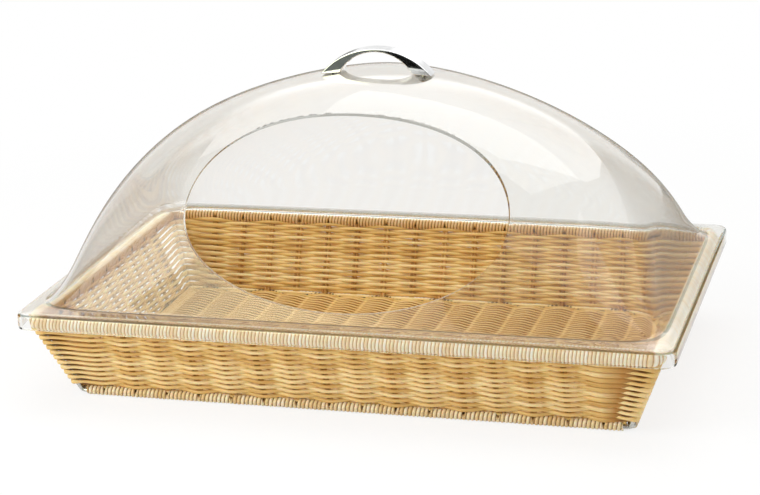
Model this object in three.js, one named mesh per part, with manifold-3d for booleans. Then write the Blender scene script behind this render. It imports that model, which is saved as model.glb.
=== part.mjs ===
// A woven buffet basket with a clear domed cover that lifts off, as an assembly of separate pieces.
// Millimetres, +Z up. The origin is the centre of the footprint on the table. X runs along the length,
// and -Y is the front, where the cover has its oval opening.
import * as THREE from "three";
import { mergeVertices } from "three/addons/utils/BufferGeometryUtils.js";
import Module from "manifold-3d";

const wasm = await Module();
wasm.setup();

// Driving dimensions of the basket.
const rimLength = 526;
const rimWidth = 325;
const baseLength = 472;
const baseWidth = 267;
const basketHeight = 77.5;

// The bound edges, the steel frame in them and the bare wire that each base corner shows.
const rimRoll = 12;
const baseRoll = 9;
const rimWire = 5;
const baseWire = 3.5;
const postWire = 4;
const rimBend = 10;
const baseBend = 6;
const bareWire = 1.5;
const bindingStrip = 1;

// The cane that everything is woven from, and the stakes that it is woven over. An end gap is what a
// wall leaves at each corner, from its last stake to the middle of the base roll round the corner.
const cane = 2.6;
const stakeCanes = 2;
const crossStakeCount = 16;
const endStakeCount = 8;
const longWallEndGap = 21.5;
const endWallEndGap = 24;
const stakeBend = 5;
const stakeEndDepth = 3.5;
const weaveSlack = 0.15;
const floorLift = 4.6;

// Driving dimensions of the cover.
const coverLength = 541;
const coverWidth = 333;
const coverWall = 3;
const lipDrop = 12;
const flangeEndWidth = 21.5;
const flangeSideWidth = 20;
const flangeCorner = 12;
const lipRound = 3.5;
const footFillet = 8;
const domeRise = 172.5;
const footFlare = 4;

// The oval serving opening in the front of the dome.
const openingLength = 268;
const openingHeight = 144;
const openingAboveFlange = 8.5;

// The handle and what fastens it.
const handleLength = 95.4;
const handleWidth = 15;
const handleRise = 19;
const handleCrown = 2.5;
const handleSpan = 62;
const handleTip = 0.9;
const handleBevel = 0.6;
const screwDiameter = 4;
const screwGrip = 4;
const headDiameter = 8;
const headHeight = 2.6;
const headCrownShare = 0.6;
const driveDiameter = 2.4;
const driveDepth = 1.4;
const washerDiameter = 14;
const washerThickness = 1;

// Clearances: between pieces that touch, round a wire or cane in its hole, and one overrun for all cuts.
const seatGap = 0.3;
const slipFit = 0.3;
const facetAllowance = 0.3;
const overrun = 2;

// Shapes of the dome: how full its two sections are and how square each level is, from foot to crown,
// and how much closer together its sides are at the corners.
const lengthFullShare = 1.8;
const lengthDroopShare = 2.28;
const widthFullShare = 3;
const widthDroopShare = 1.4;
const footSquareShare = 12;
const squareFadeShare = 3.9;
const flareFadeShare = 5.4;
const crowdingShare = 1.6;

// How finely the round forms are divided.
const domeSides = 48;
const domeLevels = 12;
const filletSteps = 3;
const lipSteps = 2;
const openingSides = 64;
const wireSides = 8;
const bindingSides = 8;
const bendSteps = 4;
const stakeBendSteps = 3;
const ribSteps = 4;
const boltSides = 12;
const bowSteps = 16;
const innerBowSteps = 12;

// Sizes that follow from the ones above.
const flangeBottom = basketHeight + seatGap;
const flangeTop = flangeBottom + coverWall;
const footHalfLength = coverLength / 2 - flangeEndWidth;
const footHalfWidth = coverWidth / 2 - flangeSideWidth;
const crownHeight = flangeTop + domeRise;
const rimLevel = basketHeight - rimRoll / 2;
const baseLevel = baseRoll / 2;
const rimHalfX = rimLength / 2 - rimRoll / 2;
const rimHalfY = rimWidth / 2 - rimRoll / 2;
const baseHalfX = baseLength / 2 - baseRoll / 2;
const baseHalfY = baseWidth / 2 - baseRoll / 2;
const crossStakePitch = (2 * (baseHalfX - longWallEndGap)) / (crossStakeCount - 1);
const endStakePitch = (2 * (baseHalfY - endWallEndGap)) / (endStakeCount - 1);
const stakeWidth = cane * stakeCanes;
const stakeInset = baseRoll / 2 - bindingStrip - slipFit - cane / 2;
const leanX = (rimHalfX - baseHalfX) / (rimLevel - baseLevel);
const leanY = (rimHalfY - baseHalfY) / (rimLevel - baseLevel);
const wallBottom = baseRoll + seatGap;
const wallTop = basketHeight - rimRoll - seatGap;

const finishes = {
  cane: { color: 0xdcb878, roughness: 0.55, metalness: 0 },
  paleCane: { color: 0xeed9ac, roughness: 0.5, metalness: 0 },
  steel: { color: 0xb9bab6, roughness: 0.35, metalness: 1 },
  chrome: { color: 0xe6e8ea, roughness: 0.08, metalness: 1 },
  clear: { color: 0xf4f8f6, roughness: 0.05, metalness: 0, transparent: true, opacity: 0.3 },
};

function piece(name, geometry, finish) {
  const mesh = new THREE.Mesh(geometry, new THREE.MeshStandardMaterial(finishes[finish]));
  mesh.name = name;
  return mesh;
}

// Solids for cuts and joins.
function solidOf(geometry) {
  const bare = new THREE.BufferGeometry();
  bare.setAttribute("position", geometry.getAttribute("position"));
  if (geometry.index) bare.setIndex(geometry.index);
  const merged = mergeVertices(bare, 1e-4);
  const corners = merged.index.array;
  const faces = [];
  for (let i = 0; i < corners.length; i += 3) {
    const [a, b, c] = corners.slice(i, i + 3);
    if (a !== b && b !== c && c !== a) faces.push(a, b, c);
  }
  const mesh = new wasm.Mesh({
    numProp: 3,
    vertProperties: new Float32Array(merged.getAttribute("position").array),
    triVerts: new Uint32Array(faces),
  });
  return new wasm.Manifold(mesh);
}

function geometryOf(solid) {
  const mesh = solid.getMesh();
  const geometry = new THREE.BufferGeometry();
  geometry.setAttribute("position", new THREE.BufferAttribute(new Float32Array(mesh.vertProperties), 3));
  geometry.setIndex(new THREE.BufferAttribute(new Uint32Array(mesh.triVerts), 1));
  return geometry;
}

function cutAll(geometry, cutters) {
  let solid = solidOf(geometry);
  for (const cutter of cutters) solid = solid.subtract(solidOf(cutter));
  return geometryOf(solid);
}

// A closed skin over rings of points: each ring joins the next, and the ends are closed or joined up.
function skinRings(rings, { closed = false, firstTip = null, lastTip = null } = {}) {
  const sides = rings[0].length;
  const points = rings.flat();
  const faces = [];
  const joins = closed ? rings.length : rings.length - 1;
  for (let r = 0; r < joins; r++) {
    const low = r * sides;
    const high = ((r + 1) % rings.length) * sides;
    for (let s = 0; s < sides; s++) {
      const next = (s + 1) % sides;
      faces.push(low + s, low + next, high + next);
      faces.push(low + s, high + next, high + s);
    }
  }
  if (firstTip) {
    points.push(firstTip);
    for (let s = 0; s < sides; s++) faces.push(points.length - 1, (s + 1) % sides, s);
  }
  if (lastTip) {
    const last = (rings.length - 1) * sides;
    points.push(lastTip);
    for (let s = 0; s < sides; s++) faces.push(points.length - 1, last + s, last + ((s + 1) % sides));
  }
  const geometry = new THREE.BufferGeometry();
  const numbers = points.flatMap((point) => [point.x, point.y, point.z]);
  geometry.setAttribute("position", new THREE.Float32BufferAttribute(numbers, 3));
  geometry.setIndex(faces);
  return geometry;
}

function ringMiddle(ring) {
  const middle = new THREE.Vector3();
  for (const point of ring) middle.add(point);
  return middle.divideScalar(ring.length);
}

function skinPrism(rings) {
  const lastTip = ringMiddle(rings[rings.length - 1]);
  return skinRings(rings, { firstTip: ringMiddle(rings[0]), lastTip });
}

// The direction of each of the dome's sides in one quarter turn, closer together at the corners.
function quarterTurns(sides) {
  const perQuarter = sides / 4;
  const turns = [];
  for (let i = 0; i < sides; i++) {
    const across = (2 * (i % perQuarter)) / perQuarter - 1;
    const bunched = Math.sign(across) * Math.abs(across) ** crowdingShare;
    turns.push((Math.floor(i / perQuarter) + (1 + bunched) / 2) * (Math.PI / 2));
  }
  return turns;
}

// A point of a rounded rectangle in a given turn, for flat rings such as the flange and the lip.
function roundedRectanglePoint(turn, halfX, halfY, corner, z) {
  const c = Math.cos(turn);
  const s = Math.sin(turn);
  const reach = Math.max(Math.abs(c), Math.abs(s));
  const x = (halfX * c) / reach;
  const y = (halfY * s) / reach;
  const centreX = Math.sign(x) * (halfX - corner);
  const centreY = Math.sign(y) * (halfY - corner);
  if (Math.abs(x) <= halfX - corner || Math.abs(y) <= halfY - corner) return new THREE.Vector3(x, y, z);
  const away = new THREE.Vector3(x - centreX, y - centreY, 0).setLength(corner);
  return new THREE.Vector3(centreX + away.x, centreY + away.y, z);
}

// The outer skin of the dome at a height share: 0 at its foot on the flange, 1 at the crown.
function domeHalf(half, heightShare, fullShare, droopShare) {
  const section = Math.max(0, 1 - heightShare ** droopShare) ** (1 / fullShare);
  return (half - footFlare) * section + footFlare * (1 - heightShare) ** flareFadeShare;
}

function domePoint(turn, heightShare, spread = 0) {
  const halfX = domeHalf(footHalfLength, heightShare, lengthFullShare, lengthDroopShare) + spread;
  const halfY = domeHalf(footHalfWidth, heightShare, widthFullShare, widthDroopShare) + spread;
  const square = 2 + (footSquareShare - 2) * (1 - heightShare) ** squareFadeShare;
  const c = Math.cos(turn);
  const s = Math.sin(turn);
  const reach = (Math.abs(c) ** square + Math.abs(s) ** square) ** (1 / square);
  return new THREE.Vector3((halfX * c) / reach, (halfY * s) / reach, flangeTop + domeRise * heightShare);
}

function domeInnerPoint(turn, heightShare) {
  const step = 1e-4;
  const around = domePoint(turn + step, heightShare).sub(domePoint(turn - step, heightShare));
  const upward = domePoint(turn, Math.min(1, heightShare + step)).sub(domePoint(turn, heightShare - step));
  const outward = new THREE.Vector3().crossVectors(around, upward).normalize();
  return domePoint(turn, heightShare).addScaledVector(outward, -coverWall);
}

// The foot of the dome runs out into the flange in a hollow curve. The sheet keeps its thickness there,
// so the outer and inner skins are arcs round the same centre.
function footRing(turns, bend, thickness) {
  const radius = footFillet + thickness;
  const level = footFillet - radius * Math.cos(bend);
  const spread = footFillet - radius * Math.sin(bend);
  const foot = footFillet / domeRise;
  return turns.map((turn) => domePoint(turn, foot, spread).setZ(flangeTop + level));
}

// The height of the dome's ridge line, above y = 0, and the angle at which it slopes.
function ridgeHeight(x) {
  const span = Math.abs(x) / (footHalfLength - footFlare);
  return flangeTop + domeRise * (1 - span ** lengthFullShare) ** (1 / lengthDroopShare);
}

function ridgeSlope(x) {
  const step = 0.01 * handleWidth;
  return Math.atan2(ridgeHeight(x + step) - ridgeHeight(x - step), 2 * step);
}

function domeShell() {
  const turns = quarterTurns(domeSides);
  const quarter = Math.PI / 2;
  const flat = (inset, z) =>
    turns.map((turn) =>
      roundedRectanglePoint(turn, coverLength / 2 - inset, coverWidth / 2 - inset, flangeCorner - inset, z),
    );
  const lipTurn = [];
  for (let i = 0; i <= lipSteps; i++) {
    const bend = (i / lipSteps) * quarter;
    lipTurn.push(flat(lipRound * (1 - Math.cos(bend)), flangeTop - lipRound * (1 - Math.sin(bend))));
  }
  const bends = [];
  for (let i = 0; i < filletSteps; i++) bends.push((i / filletSteps) * quarter);
  const foot = footFillet / domeRise;
  const levels = [];
  for (let i = 0; i < domeLevels; i++) levels.push(foot + (1 - foot) * Math.sin((i / domeLevels) * quarter));
  const tip = (z) => turns.map(() => new THREE.Vector3(0, 0, z));
  const rings = [
    flat(coverWall, flangeBottom - lipDrop),
    flat(0, flangeBottom - lipDrop),
    ...lipTurn,
    ...bends.map((bend) => footRing(turns, bend, 0)),
    ...levels.map((share) => turns.map((turn) => domePoint(turn, share))),
    tip(crownHeight),
    tip(crownHeight - coverWall),
    ...levels.map((share) => turns.map((turn) => domeInnerPoint(turn, share))).reverse(),
    ...bends.map((bend) => footRing(turns, bend, coverWall)).reverse(),
    flat(coverWall, flangeBottom),
  ];
  return skinRings(rings, { closed: true });
}

// An oval bar along Y that cuts the serving opening out of the front half of the dome only.
function openingCutter() {
  const oval = new THREE.Shape();
  oval.absellipse(0, 0, openingLength / 2, openingHeight / 2, 0, 2 * Math.PI);
  const depth = coverWidth / 2 + overrun;
  const cutter = new THREE.ExtrudeGeometry(oval, {
    depth,
    bevelEnabled: false,
    curveSegments: openingSides / 2,
  });
  cutter.rotateX(Math.PI / 2);
  cutter.translate(0, 0, flangeTop + openingAboveFlange + openingHeight / 2);
  return cutter;
}

// A round bar that stands on the ridge's slope, for the screws and the holes that they pass through.
function onRidge(geometry, x) {
  geometry.rotateX(Math.PI / 2);
  geometry.rotateY(-ridgeSlope(x));
  geometry.translate(x, 0, ridgeHeight(x));
  return geometry;
}

function ridgeBore(x, diameter, low, high) {
  const bore = new THREE.CylinderGeometry(diameter / 2, diameter / 2, high - low, boltSides);
  bore.translate(0, (high + low) / 2, 0);
  return onRidge(bore, x);
}

const footMiddle = (handleLength / 2 + handleSpan / 2) / 2;
const screwPlaces = { left: -footMiddle, right: footMiddle };

function dome() {
  const cutters = [openingCutter()];
  for (const x of Object.values(screwPlaces)) {
    cutters.push(ridgeBore(x, screwDiameter + 2 * slipFit, -coverWall - overrun, overrun));
  }
  return piece("dome_cover", cutAll(domeShell(), cutters), "clear");
}

// The handle is a flat bow: its outer and inner arcs part towards the feet, which follow the dome.
function arcPoints(halfChord, low, high, steps) {
  const rise = high - low;
  const radius = (halfChord ** 2 + rise ** 2) / (2 * rise);
  const sweep = Math.asin(halfChord / radius);
  const points = [];
  for (let i = 0; i <= steps; i++) {
    const turn = -sweep + (2 * sweep * i) / steps;
    points.push(new THREE.Vector2(radius * Math.sin(turn), high - radius * (1 - Math.cos(turn))));
  }
  return points;
}

function handleProfile() {
  const top = crownHeight + handleRise;
  const tipLow = ridgeHeight(handleLength / 2) + seatGap;
  const heelLow = ridgeHeight(handleSpan / 2) + seatGap;
  const outer = arcPoints(handleLength / 2, tipLow + handleTip, top, bowSteps);
  const inner = arcPoints(handleSpan / 2, heelLow, top - handleCrown, innerBowSteps).reverse();
  return new THREE.Shape([
    new THREE.Vector2(-handleLength / 2, tipLow),
    ...outer,
    new THREE.Vector2(handleLength / 2, tipLow),
    ...inner,
  ]);
}

function handle() {
  const bow = new THREE.ExtrudeGeometry(handleProfile(), {
    depth: handleWidth - 2 * handleBevel,
    bevelThickness: handleBevel,
    bevelSize: handleBevel,
    bevelOffset: -handleBevel,
    bevelSegments: 1,
  });
  bow.rotateX(Math.PI / 2);
  bow.translate(0, handleWidth / 2 - handleBevel, 0);
  const bores = Object.values(screwPlaces).map((x) =>
    ridgeBore(x, screwDiameter + 2 * slipFit, -overrun, screwGrip + slipFit),
  );
  return piece("handle_bow", cutAll(bow, bores), "chrome");
}

// A pan head screw and its washer, from inside the dome. Heights are from the dome's outer skin.
const washerTop = -coverWall - seatGap - facetAllowance;
const headTop = washerTop - washerThickness - seatGap;

function screw(side) {
  const shank = screwDiameter / 2;
  const head = headDiameter / 2;
  const profile = [
    [0, headTop - headHeight + driveDepth],
    [driveDiameter / 2, headTop - headHeight + driveDepth],
    [driveDiameter / 2, headTop - headHeight],
    [head * headCrownShare, headTop - headHeight],
    [head, headTop - headHeight * headCrownShare],
    [head, headTop],
    [shank, headTop],
    [shank, screwGrip],
    [0, screwGrip],
  ].map(([radius, height]) => new THREE.Vector2(radius, height));
  const turned = new THREE.LatheGeometry(profile, boltSides);
  return piece("handle_screw_" + side, onRidge(turned, screwPlaces[side]), "steel");
}

function washer(side) {
  const outer = washerDiameter / 2;
  const inner = screwDiameter / 2 + slipFit;
  const profile = [
    [inner, washerTop - washerThickness],
    [outer, washerTop - washerThickness],
    [outer, washerTop],
    [inner, washerTop],
    [inner, washerTop - washerThickness],
  ].map(([radius, height]) => new THREE.Vector2(radius, height));
  const turned = new THREE.LatheGeometry(profile, boltSides);
  return piece("screw_washer_" + side, onRidge(turned, screwPlaces[side]), "steel");
}

// Where the wires of the frame run: outside the line of the stakes, square to the leaning wall.
function wirePlace(halfX, halfY, level, wire) {
  const offset = wire / 2 + slipFit + cane / 2 - stakeInset;
  const slantX = Math.hypot(1, leanX);
  const slantY = Math.hypot(1, leanY);
  return { x: halfX + offset / slantX, y: halfY + offset / slantY, z: level - (offset * leanY) / slantY };
}

const rimWirePlace = wirePlace(rimHalfX, rimHalfY, rimLevel, rimWire);
const baseWirePlace = wirePlace(baseHalfX, baseHalfY, baseLevel, baseWire);

// A wire bent into a ring with four round corners.
function wireRing(name, place, diameter, bend) {
  const centreX = place.x - bend;
  const centreY = place.y - bend;
  const rings = [];
  for (let corner = 0; corner < 4; corner++) {
    const signX = corner === 0 || corner === 3 ? 1 : -1;
    const signY = corner < 2 ? 1 : -1;
    for (let step = 0; step <= bendSteps; step++) {
      const turn = (corner + step / bendSteps) * (Math.PI / 2);
      const outward = new THREE.Vector3(Math.cos(turn), Math.sin(turn), 0);
      const middle = new THREE.Vector3(signX * centreX, signY * centreY, place.z);
      middle.addScaledVector(outward, bend);
      const ring = [];
      for (let side = 0; side < wireSides; side++) {
        const roll = (side / wireSides) * 2 * Math.PI;
        const point = middle.clone().addScaledVector(outward, (Math.cos(roll) * diameter) / 2);
        point.z += (Math.sin(roll) * diameter) / 2;
        ring.push(point);
      }
      rings.push(ring.reverse());
    }
  }
  return piece(name, skinRings(rings, { closed: true }), "steel");
}

// The line of a corner post: from the middle of a bend of the base wire to that of the rim wire.
const bendReachShare = 1 - Math.SQRT1_2;

function postLine(z) {
  const share = (z - baseWirePlace.z) / (rimWirePlace.z - baseWirePlace.z);
  const between = (base, rim) => {
    const low = base - baseBend * bendReachShare;
    const high = rim - rimBend * bendReachShare;
    return low + (high - low) * share;
  };
  return {
    x: between(baseWirePlace.x, rimWirePlace.x),
    y: between(baseWirePlace.y, rimWirePlace.y),
  };
}

function postBar(signX, signY, low, high, diameter) {
  const rings = [low, high].map((z) => {
    const middle = postLine(z);
    const ring = [];
    for (let side = 0; side < wireSides; side++) {
      const roll = (side / wireSides) * 2 * Math.PI;
      const x = signX * middle.x + (Math.cos(roll) * diameter) / 2;
      const y = signY * middle.y + (Math.sin(roll) * diameter) / 2;
      ring.push(new THREE.Vector3(x, y, z));
    }
    return ring;
  });
  return skinPrism(rings);
}

function cornerPost(name, signX, signY) {
  const low = baseWirePlace.z + baseWire / 2 + seatGap;
  const high = rimWirePlace.z - rimWire / 2 - seatGap;
  return piece(name, postBar(signX, signY, low, high, postWire), "steel");
}

function postHole(signX, signY) {
  return postBar(signX, signY, wallBottom - overrun, wallTop + overrun, postWire + 2 * slipFit);
}

// The stakes are double canes. Their line leans with the wall, inside the line of the frame wires.
const lineX = (z) => baseHalfX - stakeInset * Math.hypot(1, leanX) + (z - baseLevel) * leanX;
const lineY = (z) => baseHalfY - stakeInset * Math.hypot(1, leanY) + (z - baseLevel) * leanY;

// The section of a double cane, grown all round by a clearance for the hole that it stands in.
function stakeSection(clearance) {
  const halfWide = stakeWidth / 2 + clearance;
  const halfThick = cane / 2 + clearance;
  const flat = halfWide - halfThick / 2;
  return [
    [halfWide, 0],
    [flat, halfThick],
    [-flat, halfThick],
    [-halfWide, 0],
    [-flat, -halfThick],
    [flat, -halfThick],
  ];
}

// Sweeps that section along a path that lies in one plane. Its width points sideways out of the plane.
function sweepStake(path, sideways, clearance = 0) {
  const rings = path.map((point, i) => {
    const before = path[Math.max(0, i - 1)];
    const after = path[Math.min(path.length - 1, i + 1)];
    const along = after.clone().sub(before).normalize();
    const normal = new THREE.Vector3().crossVectors(along, sideways).normalize();
    return stakeSection(clearance).map(([wide, thick]) =>
      point.clone().addScaledVector(sideways, wide).addScaledVector(normal, thick),
    );
  });
  return skinPrism(rings);
}

function evenPlaces(count, pitch) {
  const places = [];
  for (let i = 0; i < count; i++) places.push((i - (count - 1) / 2) * pitch);
  return places;
}

const crossPlaces = evenPlaces(crossStakeCount, crossStakePitch);
const endPlaces = evenPlaces(endStakeCount, endStakePitch);
const alongX = new THREE.Vector3(1, 0, 0);
const alongY = new THREE.Vector3(0, 1, 0);
const stakeTop = rimLevel + stakeEndDepth;

// A cross stake goes down the front wall, round the base wire, across the floor and up the back wall.
function crossStakeSweep(x, clearance = 0) {
  const slope = Math.atan(leanY);
  const turn = Math.PI / 2 - slope;
  const centreY = lineY(floorLift) - stakeBend * Math.tan(turn / 2);
  const half = [new THREE.Vector3(x, lineY(stakeTop), stakeTop)];
  for (let step = 0; step <= stakeBendSteps; step++) {
    const at = slope + (turn * step) / stakeBendSteps;
    const y = centreY + stakeBend * Math.cos(at);
    half.push(new THREE.Vector3(x, y, floorLift + stakeBend * (1 - Math.sin(at))));
  }
  const mirrored = half.map((point) => new THREE.Vector3(x, -point.y, point.z)).reverse();
  return sweepStake([...half, ...mirrored], alongX, clearance);
}

function endStakeSweep(sign, y, clearance = 0) {
  const at = (z) => new THREE.Vector3(sign * lineX(z), y, z);
  return sweepStake([at(stakeTop), at(baseLevel)], alongY, clearance);
}

function crossStakes() {
  return crossPlaces.map((x, i) => {
    const name = "cross_stake_" + String(i + 1).padStart(2, "0");
    return piece(name, crossStakeSweep(x), "cane");
  });
}

function endStakes(word, sign) {
  return endPlaces.map((y, i) => piece(word + "_stake_" + (i + 1), endStakeSweep(sign, y), "cane"));
}

// Half the thickness of the weave at a place along it: a strand and the stake, or one strand between.
const weaveOver = cane + cane / 2;
const weaveBetween = cane / 2 + weaveSlack;

function weaveHalf(along, places, pitch) {
  const nearest = Math.min(...places.map((place) => Math.abs(along - place)));
  const share = Math.min(1, nearest / (pitch / 2));
  return weaveBetween + ((weaveOver - weaveBetween) * (1 + Math.cos(Math.PI * share))) / 2;
}

function weaveStations(places, pitch) {
  const stations = [];
  const count = places.length * ribSteps;
  for (let i = 0; i <= count; i++) stations.push(places[0] - pitch / 2 + (i * pitch) / ribSteps);
  return stations;
}

// A wall: a leaning panel, ribbed over its stakes, that wraps half of each corner post at its ends.
// It is laid out along its own length, with across as its outward direction.
function wallPanel({ places, pitch, line, lean, postAcross, postAlong }) {
  const wrap = postWire / 2 + cane + seatGap;
  const slant = Math.hypot(1, lean);
  const section = (corner) =>
    [corner(1, wallBottom), corner(1, wallTop), corner(-1, wallTop), corner(-1, wallBottom)];
  const plain = (along, half) =>
    section((side, z) => new THREE.Vector3(along(z), line(z) + side * half * slant, z));
  const shoulder = (end) => plain((z) => end * (postAlong(z) - wrap - cane / 2), weaveBetween);
  const mitre = (end) =>
    section((side, z) => {
      const along = postAlong(z) + side * wrap - seatGap;
      return new THREE.Vector3(end * along, postAcross(z) + side * wrap, z);
    });
  const ribs = weaveStations(places, pitch).map((x) => plain(() => x, weaveHalf(x, places, pitch)));
  return skinPrism([mitre(-1), shoulder(-1), ...ribs, shoulder(1), mitre(1)]);
}

function longWall(word, sign) {
  const panel = wallPanel({
    places: crossPlaces,
    pitch: crossStakePitch,
    line: lineY,
    lean: leanY,
    postAcross: (z) => postLine(z).y,
    postAlong: (z) => postLine(z).x,
  });
  if (sign < 0) panel.rotateZ(Math.PI);
  const cutters = crossPlaces.map((x) => crossStakeSweep(x, slipFit));
  cutters.push(postHole(1, sign), postHole(-1, sign));
  return piece("wall_weave_" + word, cutAll(panel, cutters), "cane");
}

function endWall(word, sign) {
  const panel = wallPanel({
    places: endPlaces,
    pitch: endStakePitch,
    line: lineX,
    lean: leanX,
    postAcross: (z) => postLine(z).x,
    postAlong: (z) => postLine(z).y,
  });
  panel.rotateZ((-sign * Math.PI) / 2);
  const cutters = endPlaces.map((y) => endStakeSweep(sign, y, slipFit));
  cutters.push(postHole(sign, 1), postHole(sign, -1));
  return piece("wall_weave_" + word, cutAll(panel, cutters), "cane");
}

// The floor is woven along X over the cross stakes, so it has a hump along each of them.
function floorWeave() {
  const halfX = baseLength / 2 - baseRoll - seatGap;
  const halfY = baseWidth / 2 - baseRoll - seatGap;
  const section = (x, half) => [
    new THREE.Vector3(x, -halfY, floorLift - half),
    new THREE.Vector3(x, halfY, floorLift - half),
    new THREE.Vector3(x, halfY, floorLift + half),
    new THREE.Vector3(x, -halfY, floorLift + half),
  ];
  const ribs = weaveStations(crossPlaces, crossStakePitch).map((x) =>
    section(x, weaveHalf(x, crossPlaces, crossStakePitch)),
  );
  const panel = skinPrism([section(-halfX, weaveBetween), ...ribs, section(halfX, weaveBetween)]);
  const cutters = crossPlaces.map((x) => {
    const ends = [-halfY - overrun, halfY + overrun];
    return sweepStake(ends.map((y) => new THREE.Vector3(x, y, floorLift)), alongX, slipFit);
  });
  return piece("floor_weave", cutAll(panel, cutters), "cane");
}

// The stations of a binding's middle line, laid out along X with +Y outward. Each has a place and the
// turn that it faces. On a round corner, a binding goes half way round, and the next one goes the rest.
function straightStations(halfLength, outward) {
  return [
    { x: -halfLength, y: outward, facing: 0 },
    { x: halfLength, y: outward, facing: 0 },
  ];
}

function moveAlong({ x, y, facing }, distance) {
  return { x: x + distance * Math.cos(facing), y: y - distance * Math.sin(facing), facing };
}

function bentStations(halfAlong, outward, bend) {
  const stations = [];
  for (const sign of [-1, 1]) {
    for (let step = 0; step <= bendSteps; step++) {
      const share = sign < 0 ? 1 - step / bendSteps : step / bendSteps;
      const facing = (sign * share * Math.PI) / 4;
      const x = sign * (halfAlong - bend) + bend * Math.sin(facing);
      stations.push({ x, y: outward - bend + bend * Math.cos(facing), facing });
    }
  }
  stations[0] = moveAlong(stations[0], seatGap / 2);
  stations.push(moveAlong(stations.pop(), -seatGap / 2));
  return stations;
}

// A bar with flat sides that stand at a given distance from its middle line, with one side facing down.
function flatSidedBar(stations, reach, z) {
  const radius = reach / Math.cos(Math.PI / bindingSides);
  const rings = stations.map(({ x, y, facing }) => {
    const ring = [];
    for (let side = 0; side < bindingSides; side++) {
      const roll = ((2 * side + 1) / bindingSides) * Math.PI;
      const out = radius * Math.cos(roll);
      const point = new THREE.Vector3(x + out * Math.sin(facing), y + out * Math.cos(facing), z);
      point.z += radius * Math.sin(roll);
      ring.push(point);
    }
    return ring;
  });
  return skinPrism(rings);
}

// Flat cane wound into a sleeve round a wire, with a hole wherever a stake or a post enters it.
function binding(name, { roll, stations, z, turn, cutters }) {
  const inside = [
    moveAlong(stations[0], -overrun),
    ...stations.slice(1, -1),
    moveAlong(stations[stations.length - 1], overrun),
  ];
  const bars = [flatSidedBar(stations, roll / 2, z), flatSidedBar(inside, roll / 2 - bindingStrip, z)];
  for (const bar of bars) bar.rotateZ(turn);
  const [sleeve, hollow] = bars;
  return piece(name, cutAll(sleeve, [hollow, ...cutters]), "paleCane");
}

// A slot in the inner upper quarter of a base binding, where a cross stake comes in from the floor and
// leaves up the wall. It is an outline in the stake's own plane, as wide as the stake with its clearance.
function cornerSlot(x, sign) {
  const reach = cane / 2 + slipFit;
  const low = floorLift - reach;
  const high = baseRoll + overrun;
  const outerY = (z) => lineY(z) + reach * Math.hypot(1, leanY);
  const inside = baseHalfY - baseRoll / 2 - overrun;
  const outline = [[inside, low], [outerY(low), low], [outerY(high), high], [inside, high]];
  const rings = [-1, 1].map((side) =>
    outline.map(([y, z]) => new THREE.Vector3(x + side * (stakeWidth / 2 + slipFit), sign * y, z)),
  );
  return skinPrism(sign > 0 ? rings : rings.map((ring) => ring.reverse()));
}

// The four bindings of a ring, each on its own wall.
function fourBindings(word, { roll, z, longStations, endStations, longCutters, endCutters }) {
  const walls = {
    front: { stations: longStations, turn: Math.PI, cutters: longCutters(-1) },
    back: { stations: longStations, turn: 0, cutters: longCutters(1) },
    left: { stations: endStations, turn: Math.PI / 2, cutters: endCutters(-1) },
    right: { stations: endStations, turn: -Math.PI / 2, cutters: endCutters(1) },
  };
  const made = (side) => binding(word + "_binding_" + side, { roll, z, ...walls[side] });
  return Object.keys(walls).map(made);
}

// The rim is wound right round its corners, over the tops of the posts.
function rimBindings() {
  const bend = rimBend - (rimWirePlace.x - rimHalfX);
  return fourBindings("rim", {
    roll: rimRoll,
    z: rimLevel,
    longStations: bentStations(rimHalfX, rimHalfY, bend),
    endStations: bentStations(rimHalfY, rimHalfX, bend),
    longCutters: (sign) => [
      ...crossPlaces.map((x) => crossStakeSweep(x, slipFit)),
      postHole(1, sign),
      postHole(-1, sign),
    ],
    endCutters: (sign) => [
      ...endPlaces.map((y) => endStakeSweep(sign, y, slipFit)),
      postHole(sign, 1),
      postHole(sign, -1),
    ],
  });
}

// The base is wound between its corners only, where the wire stays bare.
function baseBindings() {
  const halfLong = baseWirePlace.x - baseBend - bareWire;
  const halfEnd = baseWirePlace.y - baseBend - bareWire;
  return fourBindings("base", {
    roll: baseRoll,
    z: baseLevel,
    longStations: straightStations(halfLong, baseHalfY),
    endStations: straightStations(halfEnd, baseHalfX),
    longCutters: (sign) => crossPlaces.map((x) => cornerSlot(x, sign)),
    endCutters: (sign) => endPlaces.map((y) => endStakeSweep(sign, y, slipFit)),
  });
}

const basket = new THREE.Group();
const cover = new THREE.Group();
const whole = new THREE.Group();
whole.add(basket, cover);

basket.add(wireRing("rim_frame_wire", rimWirePlace, rimWire, rimBend));
basket.add(wireRing("base_frame_wire", baseWirePlace, baseWire, baseBend));
basket.add(cornerPost("corner_post_front_left", -1, -1));
basket.add(cornerPost("corner_post_front_right", 1, -1));
basket.add(cornerPost("corner_post_back_left", -1, 1));
basket.add(cornerPost("corner_post_back_right", 1, 1));
basket.add(...crossStakes());
basket.add(...endStakes("left", -1));
basket.add(...endStakes("right", 1));
basket.add(longWall("front", -1));
basket.add(longWall("back", 1));
basket.add(endWall("left", -1));
basket.add(endWall("right", 1));
basket.add(floorWeave());
basket.add(...rimBindings());
basket.add(...baseBindings());

cover.add(dome());
cover.add(handle());
cover.add(screw("left"), screw("right"));
cover.add(washer("left"), washer("right"));

export default whole;
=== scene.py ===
# %% [markdown]
# # A covered buffet basket, from frame to finish
# The object is an oblong bread basket, woven over a steel wire frame, under a clear domed cover with a
# chrome bow handle. This lesson builds its looks round a solid model that already exists. The solids
# say where everything is. What they leave out, and this file adds, is the real weave: every strand,
# every turn of the wound borders, the smooth clear sheet and the polished metal.

import math
import random

import bmesh
import bpy
import numpy as np
from mathutils import Matrix, Vector


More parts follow.
